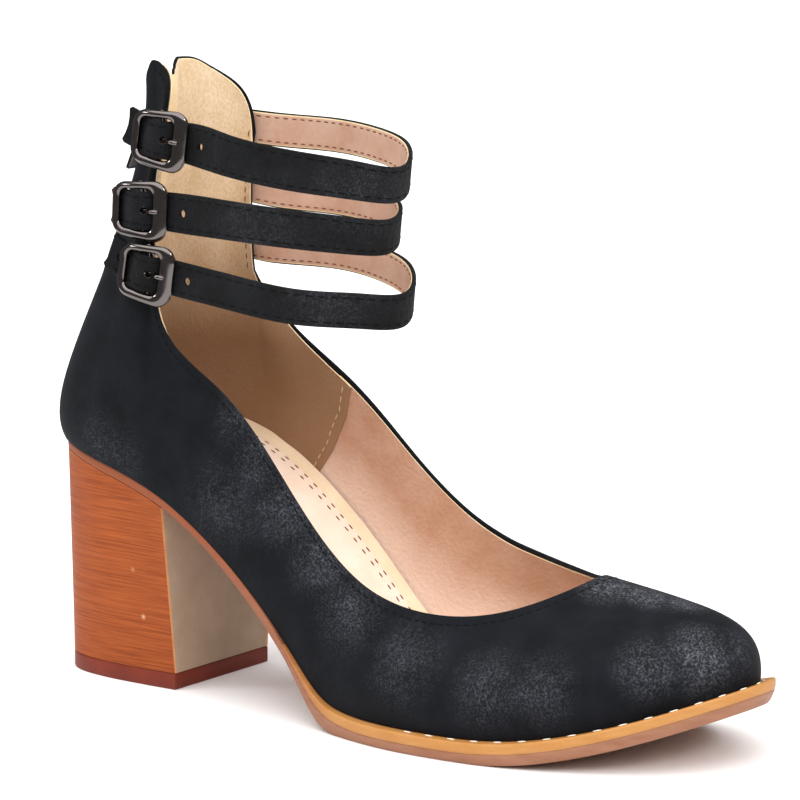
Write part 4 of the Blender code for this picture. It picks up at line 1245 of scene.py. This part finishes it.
# %% Strap layers
# Round a strap layer's section: share of the half width and of the half thickness
STRAP_SECTION = ((-0.93, 1.0), (-0.5, 1.0), (0.0, 1.0), (0.5, 1.0), (0.93, 1.0), (0.98, 0.75), (1.0, 0.3),
                 (1.0, -0.3), (0.98, -0.75), (0.93, -1.0), (0.5, -1.0), (0.0, -1.0), (-0.5, -1.0),
                 (-0.93, -1.0), (-0.98, -0.75), (-1.0, -0.3), (-1.0, 0.3), (-0.98, 0.75), (-0.93, 1.0))
TIP_CORNER = 0.7
TIP_NOTCH = 0.9
TIP_REACH = 4.0
RIBBON_STEP = 0.2


def heading(run, line, s, step):
    """Direction of a smooth line at distances s along it."""
    ahead, behind = (smooth_through(run, line, np.clip(s + move, 0, run[-1])) for move in (step, -step))
    return unit(ahead - behind)


def ribbon_run(edges):
    """Distance along the middle of a ribbon at each of its places."""
    return run_of(0.5 * (edges[0] + edges[1]))


def ribbon_axes(edges, s):
    """Middle and half width of a ribbon at distances s, with its directions along, across and outward."""
    run = ribbon_run(edges)
    s = np.clip(s, 0, run[-1])
    ends = [smooth_through(run, line, s) for line in edges]
    along = heading(run, 0.5 * (edges[0] + edges[1]), s, RIBBON_STEP)
    across = unit(ends[1] - ends[0])
    half = 0.5 * np.linalg.norm(ends[1] - ends[0], axis=1)
    return 0.5 * (ends[0] + ends[1]), half, along, across, unit(np.cross(across, along))


def ribbon_layer(edges, columns, draw, out_low, out_high, notch=0.0, edged=False):
    """Closed strip between two outward levels, drawn in at its edges. Its end has small round corners and may
    be notched, and its edge faces may have the second material."""
    length = ribbon_run(edges)[-1]
    section = np.array(STRAP_SECTION)

    def shape(u, w):
        s = u * length
        step = np.rint(w * (len(section) - 1)).astype(int)
        middle, half, along, across, out = ribbon_axes(edges, s)
        corner = np.clip((s - length + TIP_CORNER) / TIP_CORNER, 0, 1)
        half = half - draw - TIP_CORNER * (1 - np.sqrt(1 - corner ** 2))
        level = 0.5 * (out_high + out_low) + 0.5 * (out_high - out_low) * section[step, 1]
        past = np.clip((s - length + TIP_REACH) / TIP_REACH, 0, 1)
        pull = notch * past ** 2 * (1 - section[step, 0] ** 2)
        spot = middle + across * (half * section[step, 0])[:, None] - along * pull[:, None]
        return spot + out * level[:, None]
    build = sheet(columns, len(section) - 1, shape, (length, STRAP_WIDTH))
    spread = build.loops.layers.uv["flat_sheet"]
    for face in build.faces:
        row = int(min(corner[spread].uv.y for corner in face.loops) / STRAP_WIDTH * (len(section) - 1) + 0.5)
        face.material_index = int(edged and abs(section[row:row + 2, 0]).min() > 0.9)
    return close(build)


# %% Straps, with their holes and seams
HOLE_ALONG = 3.3
HOLE_RADIUS = 1.2
HOLE_STEP = 12.7
HOLE_TO_TIP = 3.5
PUNCH_DEPTH = 8.0


def hole_cutters(row, edges):
    """Round punches through a strap: where the prong passes, and one step to either side if it has room."""
    length = ribbon_run(edges)[-1]
    build = bmesh.new()
    for step in (-1, 0, 1):
        along = HOLE_ALONG + step * HOLE_STEP
        if along < HOLE_TO_TIP - row.tip:
            continue
        axes = ribbon_axes(edges, np.array((length - row.tip - along,)))
        middle, ahead, across, out = (axes[k][0] for k in (0, 2, 3, 4))
        bmesh.ops.create_cone(build, cap_ends=True, segments=20, radius1=HOLE_RADIUS * MM,
                              radius2=HOLE_RADIUS * MM, depth=PUNCH_DEPTH * MM,
                              matrix=moved_to(middle) @ turned(across, ahead, out))
    return build


STRAP_COLUMNS = 260
FACE_THICK = 1.2
LINING_DRAW = 0.4
STRAP_STITCH = Stitch(3.6, 2.6, 0.5, 0.24)
LINING_STITCH = Stitch(2.9, 1.8, 0.5, 0.24)
SEAM_IN = 1.5
SEAM_ENDS = (2.0, 2.5)
half_thick = STRAP_THICK / 2
split = half_thick - FACE_THICK
for row in STRAPS:
    edges = strap_edges(row)
    name = "strap_" + row.name
    outer = ribbon_layer(edges, STRAP_COLUMNS, 0.0, split, half_thick, TIP_NOTCH)
    inner = ribbon_layer(edges, STRAP_COLUMNS, LINING_DRAW, -half_thick, split, TIP_NOTCH, True)
    cut(piece(name + "_face", outer, BLACK_NUBUCK, (name,)), hole_cutters(row, edges))
    cut(piece(name + "_lining", inner, (STRAP_LINING, RAW_EDGE)), hole_cutters(row, edges))
    length = ribbon_run(edges)[-1]
    print(name, "is", round(float(length)), "mm long")
    s = np.linspace(SEAM_ENDS[0], length - SEAM_ENDS[1], 500)
    middle, half, _, across, out = ribbon_axes(edges, s)
    lines = {1: [], -1: []}
    for face_side in (1, -1):
        for edge_side in (1, -1):
            line = middle + across * (edge_side * (half - SEAM_IN))[:, None] + out * face_side * half_thick
            lines[face_side].append((line, face_side * out))
    stitches(name + "_stitches", lines[1], STRAP_STITCH, BLACK_THREAD)
    stitches(name + "_lining_stitches", lines[-1], LINING_STITCH, BROWN_THREAD)

# %% [markdown]
# ## Buckles
# A buckle is a cast frame with a centre bar, held by a folded leather tab, the chape, and a prong that turns
# on the bar. The frame lies between two rounded rectangles, so its front bar can be wide and its back bar
# thin. Rods of round sections make bar and prong.

# %% Chapes
BAR_RADIUS = 0.7
BAR_OUT = -1.6
CHAPE_WIDTH = 9.0
CHAPE_THICK = 0.8
CHAPE_COLUMNS = 60
CHAPE_STAND = 0.15
# Angles of the fold round the bar; places back along the cuff, from just past its front edge; slot for the
# prong
CHAPE_FOLD = (150, 110, 70, 30, -10, -50, -90)
CHAPE_REACH = (5.0, 8.5, 12.0)
CHAPE_PAST = 1.0
CHAPE_SLOT = (6.4, 2.8, 5.2)


def chape_edges(row):
    """Tab from the fold round the centre bar back on to the cuff."""
    turn = BAR_RADIUS + GAP + CHAPE_THICK / 2
    half = CHAPE_WIDTH / 2
    low, high = [], []
    for angle in CHAPE_FOLD:
        a = math.radians(angle)
        for line, side in ((low, -half), (high, half)):
            line.append(at_buckle(row, turn * math.cos(a), side, BAR_OUT + turn * math.sin(a)))
    off = GAP + CHAPE_THICK / 2 + CHAPE_STAND
    edge = cuff_line(row.buckle_z, -1)[-1, 0]
    for back in CHAPE_REACH:
        x = min(row.buckle_x, edge + CHAPE_PAST) - back
        low.append(cuff_point(x, row.buckle_z - half, -1, off))
        high.append(cuff_point(x, row.buckle_z + half, -1, off))
    return np.array(low), np.array(high)


for row in STRAPS:
    name = "chape_" + row.name
    fold = ribbon_layer(chape_edges(row), CHAPE_COLUMNS, 0.0, -CHAPE_THICK / 2, CHAPE_THICK / 2)
    tab = piece(name + "_tab", fold, BLACK_NUBUCK, (name,))
    centre, *axes = buckle_axes(row)
    size = turned(*[axis * side * MM for axis, side in zip(axes, CHAPE_SLOT)])
    slot_cut = bmesh.new()
    bmesh.ops.create_cube(slot_cut, size=1.0, matrix=moved_to(centre + axes[2] * BAR_OUT) @ size)
    cut(tab, slot_cut)

# %% Frames
# Low and high end along the strap and across it, and corner radius, of the frame's outer and inner line; both
# widen towards the front bar
FRAME_OUTER = ((-9.2, -8.6), (9.3, 8.3), 4.6)
FRAME_INNER = ((-6.3, -5.8), (4.8, 6.0), 2.2)
FRAME_TAPER = 0.11
FRAME_HIGH = 1.2
# Height of the arch in its middle, and its fall to the front bar
FRAME_ARCH = (0.8, 1.4)
CORNER_STEPS = 9
SIDE_STEPS = 5
RING_SIDES = 24


def rounded(low, high, corner):
    """Points round a rectangle with round corners, as many on each corner and side."""
    arcs = []
    for x, y, start in ((1, 1, 0), (0, 1, 90), (0, 0, 180), (1, 0, 270)):
        turn = np.radians(np.linspace(start, start + 90, CORNER_STEPS))
        middle = (high[0] - corner if x else low[0] + corner, high[1] - corner if y else low[1] + corner)
        arcs.append(np.array(middle) + corner * np.stack((np.cos(turn), np.sin(turn)), -1))
    points = []
    for arc, following in zip(arcs, arcs[1:] + arcs[:1]):
        share = np.linspace(0, 1, SIDE_STEPS + 2)[1:-1, None]
        points.extend((arc, arc[-1] * (1 - share) + following[0] * share))
    points = np.concatenate(points)
    points[:, 1] *= 1 + FRAME_TAPER * points[:, 0] / FRAME_OUTER[1][0]
    return points


def frame_ring(row):
    """Frame with a flattened round section, arched a little outward in its middle."""
    centre, a, c, o = buckle_axes(row)
    outer, inner = rounded(*FRAME_OUTER), rounded(*FRAME_INNER)
    count = len(outer)

    def shape(u, w):
        step = np.rint(u * count).astype(int) % count
        turn = 2 * math.pi * w
        wide = np.cos(turn)[:, None]
        flat = 0.5 * (outer[step] + inner[step]) + 0.5 * (outer[step] - inner[step]) * wide
        arch = FRAME_ARCH[0] - FRAME_ARCH[1] * (flat[:, 0] / FRAME_OUTER[1][0]) ** 2
        high = FRAME_HIGH * np.sin(turn) + arch
        return centre + flat[:, :1] * a + flat[:, 1:] * c + high[:, None] * o
    return close(sheet(count, RING_SIDES, shape))


# %% Bars and prongs
ROD_SIDES = 12
ROD_COLUMNS = 60
ROD_STEP = 0.05
# Half of the bar: how far in from the frame's side, and the share of the way down to the bar's level
BAR_HALF = 7.75
BAR_BEND = ((0.0, 0.0), (0.7, 0.56), (1.4, 1.0))
# The prong curls round the bar, then runs out along the strap; its radii are at the start of the curl, the
# start and end of the straight part, and the tip
PRONG_RADIUS = 0.55
PRONG_PLAY = 0.25
PRONG_CURL = np.radians(np.linspace(-265, -38, 10))
PRONG_RUN = ((2.4, -0.98), (3.4, 0.45), (4.3, 1.4), (5.2, 1.75), (6.2, 1.75), (7.2, 1.6))
PRONG_RADII = (0.5, 0.7, 0.75, 0.55)


def rod(points, side, radii):
    """Round rod along points that lie in a plane square to side; radii go with the points."""
    points = np.asarray(points, float)
    run = run_of(points)

    def shape(u, w):
        s = u * run[-1]
        middle = smooth_through(run, points, s)
        over = np.cross(np.asarray(side), heading(run, points, s, ROD_STEP))
        radius = np.interp(s, run, radii)[:, None]
        turn = 2 * math.pi * w[:, None]
        return middle + radius * (np.cos(turn) * np.asarray(side) + np.sin(turn) * over)
    return close(sheet(ROD_COLUMNS, ROD_SIDES, shape))


half_bar = [(BAR_HALF - inward, share * BAR_OUT) for inward, share in BAR_BEND]
bar_way = [(-across, out) for across, out in half_bar] + half_bar[::-1]
curl = BAR_RADIUS + PRONG_PLAY + PRONG_RADIUS
prong_way = [(curl * math.cos(angle), BAR_OUT + curl * math.sin(angle)) for angle in PRONG_CURL]
prong_way += PRONG_RUN
tip = len(prong_way) - 1
prong_radii = np.interp(np.arange(tip + 1), (0, len(PRONG_CURL), tip - 1, tip), PRONG_RADII)
for row in STRAPS:
    along, across = buckle_axes(row)[1:3]
    name = "buckle_" + row.name
    piece(name + "_frame", frame_ring(row), GUNMETAL, (name,))
    bar = rod([at_buckle(row, 0.0, *spot) for spot in bar_way], along, [BAR_RADIUS] * len(bar_way))
    piece(name + "_bar", bar, GUNMETAL)
    name = "prong_" + row.name
    prong = rod([at_buckle(row, ahead, 0.0, out) for ahead, out in prong_way], across, prong_radii)
    piece(name + "_tongue", prong, GUNMETAL, (name,))

# %% [markdown]
# ## Back zip
# The zip closes the split at the back. A woven tape carries two rows of small metal teeth, a slider holds
# them at the top, and its pull tab hangs from the crown. The tab is the one piece that swings.

# %% Tape and teeth
ZIP_LOW = 131.0
ZIP_HIGH = 171.0
# How far the tape goes on below and above the teeth
TAPE_PAST = (11.5, 4.0)
TAPE_HALF = 3.6
TAPE_DEPTH = (1.0, 1.4)
TOOTH_PITCH = 1.5
TOOTH = (1.4, 1.9, 0.9)
TOOTH_OFF = (0.75, 0.75)
TOOTH_ROUND = 0.18


def sized(size):
    """Matrix that gives a unit cube its size in millimetres."""
    return Matrix.Diagonal((*[side * MM for side in size], 1.0))


tape_z = (ZIP_LOW - TAPE_PAST[0], ZIP_HIGH + TAPE_PAST[1])
piece("zip_tape", flat_strip(tape_z, (-TAPE_HALF, TAPE_HALF), TAPE_DEPTH, 0.0), ZIP_TAPE)
teeth = bmesh.new()
for count, z in enumerate(np.arange(ZIP_LOW, ZIP_HIGH, TOOTH_PITCH / 2)):
    spot = (back_x(z) + TOOTH_OFF[0], TOOTH_OFF[1] if count % 2 else -TOOTH_OFF[1], z)
    bmesh.ops.create_cube(teeth, size=1.0, matrix=moved_to(spot) @ sized(TOOTH))
round_edges(teeth, teeth.edges[:], TOOTH_ROUND, 1)
piece("zip_tooth_rows", teeth, TEETH, ("zip_chain",))

# %% Slider and pull tab
SLIDER_Z = 166.0
SLIDER_SIZE = (3.0, 6.4, 9.0)
SLIDER_TAPER = 0.72
SLIDER_ROUND = 0.9
SLIDER_STAND = 0.2
# From the slider's face: how far out and up the pull turns
PIVOT_OFF = (1.1, 0.5)
PULL_SIZE = (1.2, 4.8, 18.0)
PULL_RIM = (0.9, 0.2)
PULL_ROUND = 0.25
PULL_ABOVE = 0.6
PULL_LEAN = 24.0
PULL_EYE = (4.0, 2.6, 4.0)
PULL_EYE_DOWN = 2.7
CROWN_RADIUS = 0.6
HALF_CROWN = ((2.2, 2.4), (-0.2, 2.2), (-1.7, 1.0))

slope = (back_x(SLIDER_Z + 4) - back_x(SLIDER_Z - 4)) / 8
lean = Matrix.Rotation(math.atan(slope), 4, "Y")
slider_x = back_x(SLIDER_Z) - GAP - SLIDER_SIZE[0] / 2 - SLIDER_STAND
pivot = np.array((slider_x - SLIDER_SIZE[0] / 2 - PIVOT_OFF[0], 0.0, SLIDER_Z + PIVOT_OFF[1]))
slider = bmesh.new()
bmesh.ops.create_cube(slider, size=1.0, matrix=sized(SLIDER_SIZE))
bottom = [corner for corner in slider.verts if corner.co.z < 0]
bmesh.ops.scale(slider, vec=(1.0, SLIDER_TAPER, 1.0), verts=bottom)
round_edges(slider, slider.edges[:], SLIDER_ROUND, 3)
bmesh.ops.transform(slider, verts=slider.verts, matrix=moved_to((slider_x, 0, SLIDER_Z)) @ lean)
piece("zip_slider_body", slider, BLACK_PLATE, ("zip_slider",))
arch = list(HALF_CROWN) + [(x, -z) for x, z in HALF_CROWN[::-1]]
crown = rod([(pivot[0] + x, 0.0, pivot[2] + z) for x, z in arch], (0, 1, 0), [CROWN_RADIUS] * len(arch))
piece("zip_slider_crown", crown, BLACK_PLATE)

pull = bmesh.new()
bmesh.ops.create_cube(pull, size=1.0, matrix=sized(PULL_SIZE))
faces = [face for face in pull.faces if abs(face.normal.x) > 0.9]
bmesh.ops.inset_individual(pull, faces=faces, thickness=PULL_RIM[0] * MM, depth=-PULL_RIM[1] * MM)
round_edges(pull, pull.edges[:], PULL_ROUND, 2)
swing = math.radians(PULL_LEAN)
tilt = Matrix.Rotation(swing, 4, "Y")
down = np.array((-math.sin(swing), 0.0, -math.cos(swing)))
pull_spot = moved_to(pivot + down * (PULL_SIZE[2] / 2 - PULL_ABOVE))
bmesh.ops.transform(pull, verts=pull.verts, matrix=pull_spot @ tilt)
tab = piece("zip_pull_tab", pull, BLACK_PLATE, ("zip_pull",), body="pull_tab")
eye = bmesh.new()
bmesh.ops.create_cube(eye, size=1.0, matrix=moved_to(pivot + down * PULL_EYE_DOWN) @ tilt @ sized(PULL_EYE))
cut(tab, eye)

# %% [markdown]
# ## Stage
# The shoe stands on white paper in a studio. A very wide sun from almost overhead lights shoe and paper
# evenly, so the paper is white everywhere and the shadow stays soft. Soft boxes give the metal its bright
# edges. The camera stands in front of the outer side, low and far away, so that the lines stay calm.

# %% Floor
PAPER = finish("white_paper", Base_Color=linear("#fbfbfb"), Roughness=0.9, Specular_Ior_Level=0.0)[0]


def paper(name, radius, low):
    build = bmesh.new()
    bmesh.ops.create_circle(build, cap_ends=True, segments=96, radius=radius,
                            matrix=Matrix.Translation((0, 0, -low)))
    bmesh.ops.recalc_face_normals(build, faces=build.faces)
    made = new_object(name, build, PAPER)
    return made


# The metal mirrors only the paper near the shoe; beyond it the studio is dark
paper("paper_near", 0.45, 0.0)
paper("paper_far", 20.0, 0.0004).visible_glossy = False
print("white paper under the shoe")

# %% Light and camera
world = bpy.data.worlds.new("studio")
world.use_nodes = True
world.node_tree.nodes["Background"].inputs["Color"].default_value = (1, 1, 1, 1)
world.node_tree.nodes["Background"].inputs["Strength"].default_value = 0.2
bpy.context.scene.world = world
bpy.context.scene.view_settings.view_transform = "Standard"

TARGET = (-0.0011, 0.00235, 0.090)


def aim(made, spot):
    made.location = spot
    made.rotation_euler = (Vector(TARGET) - Vector(spot)).to_track_quat("-Z", "Y").to_euler()
    bpy.context.scene.collection.objects.link(made)


def soft_box(name, spot, size, power):
    data = bpy.data.lights.new(name, "AREA")
    data.size = size
    data.energy = power
    aim(bpy.data.objects.new(name, data), spot)


SUN_ENERGY = 4.7
SUN_ANGLE = 100
BOX_SIZE = 0.22
BOX_POWER = 3
sun = bpy.data.lights.new("sun", "SUN")
sun.energy = SUN_ENERGY
sun.angle = math.radians(SUN_ANGLE)
aim(bpy.data.objects.new("sun", sun), (0.25, -0.28, 1.05))
soft_box("left", (-0.9, -0.9, 0.6), BOX_SIZE, BOX_POWER)
soft_box("right", (1.2, -0.3, 0.8), BOX_SIZE, BOX_POWER)

AZIMUTH = 35.5
ELEVATION = 9.5
DISTANCE = 1.1
LENS = 173.25
azimuth, elevation = math.radians(AZIMUTH), math.radians(ELEVATION)
back = Vector((math.sin(azimuth) * math.cos(elevation), -math.cos(azimuth) * math.cos(elevation),
               math.sin(elevation)))
camera_data = bpy.data.cameras.new("camera")
camera_data.lens = LENS
camera_data.sensor_width = 36.0
camera = bpy.data.objects.new("camera", camera_data)
aim(camera, Vector(TARGET) + back * DISTANCE)
bpy.context.scene.camera = camera
print("camera at", [round(c, 3) for c in camera.location], "with a lens of", LENS, "mm")
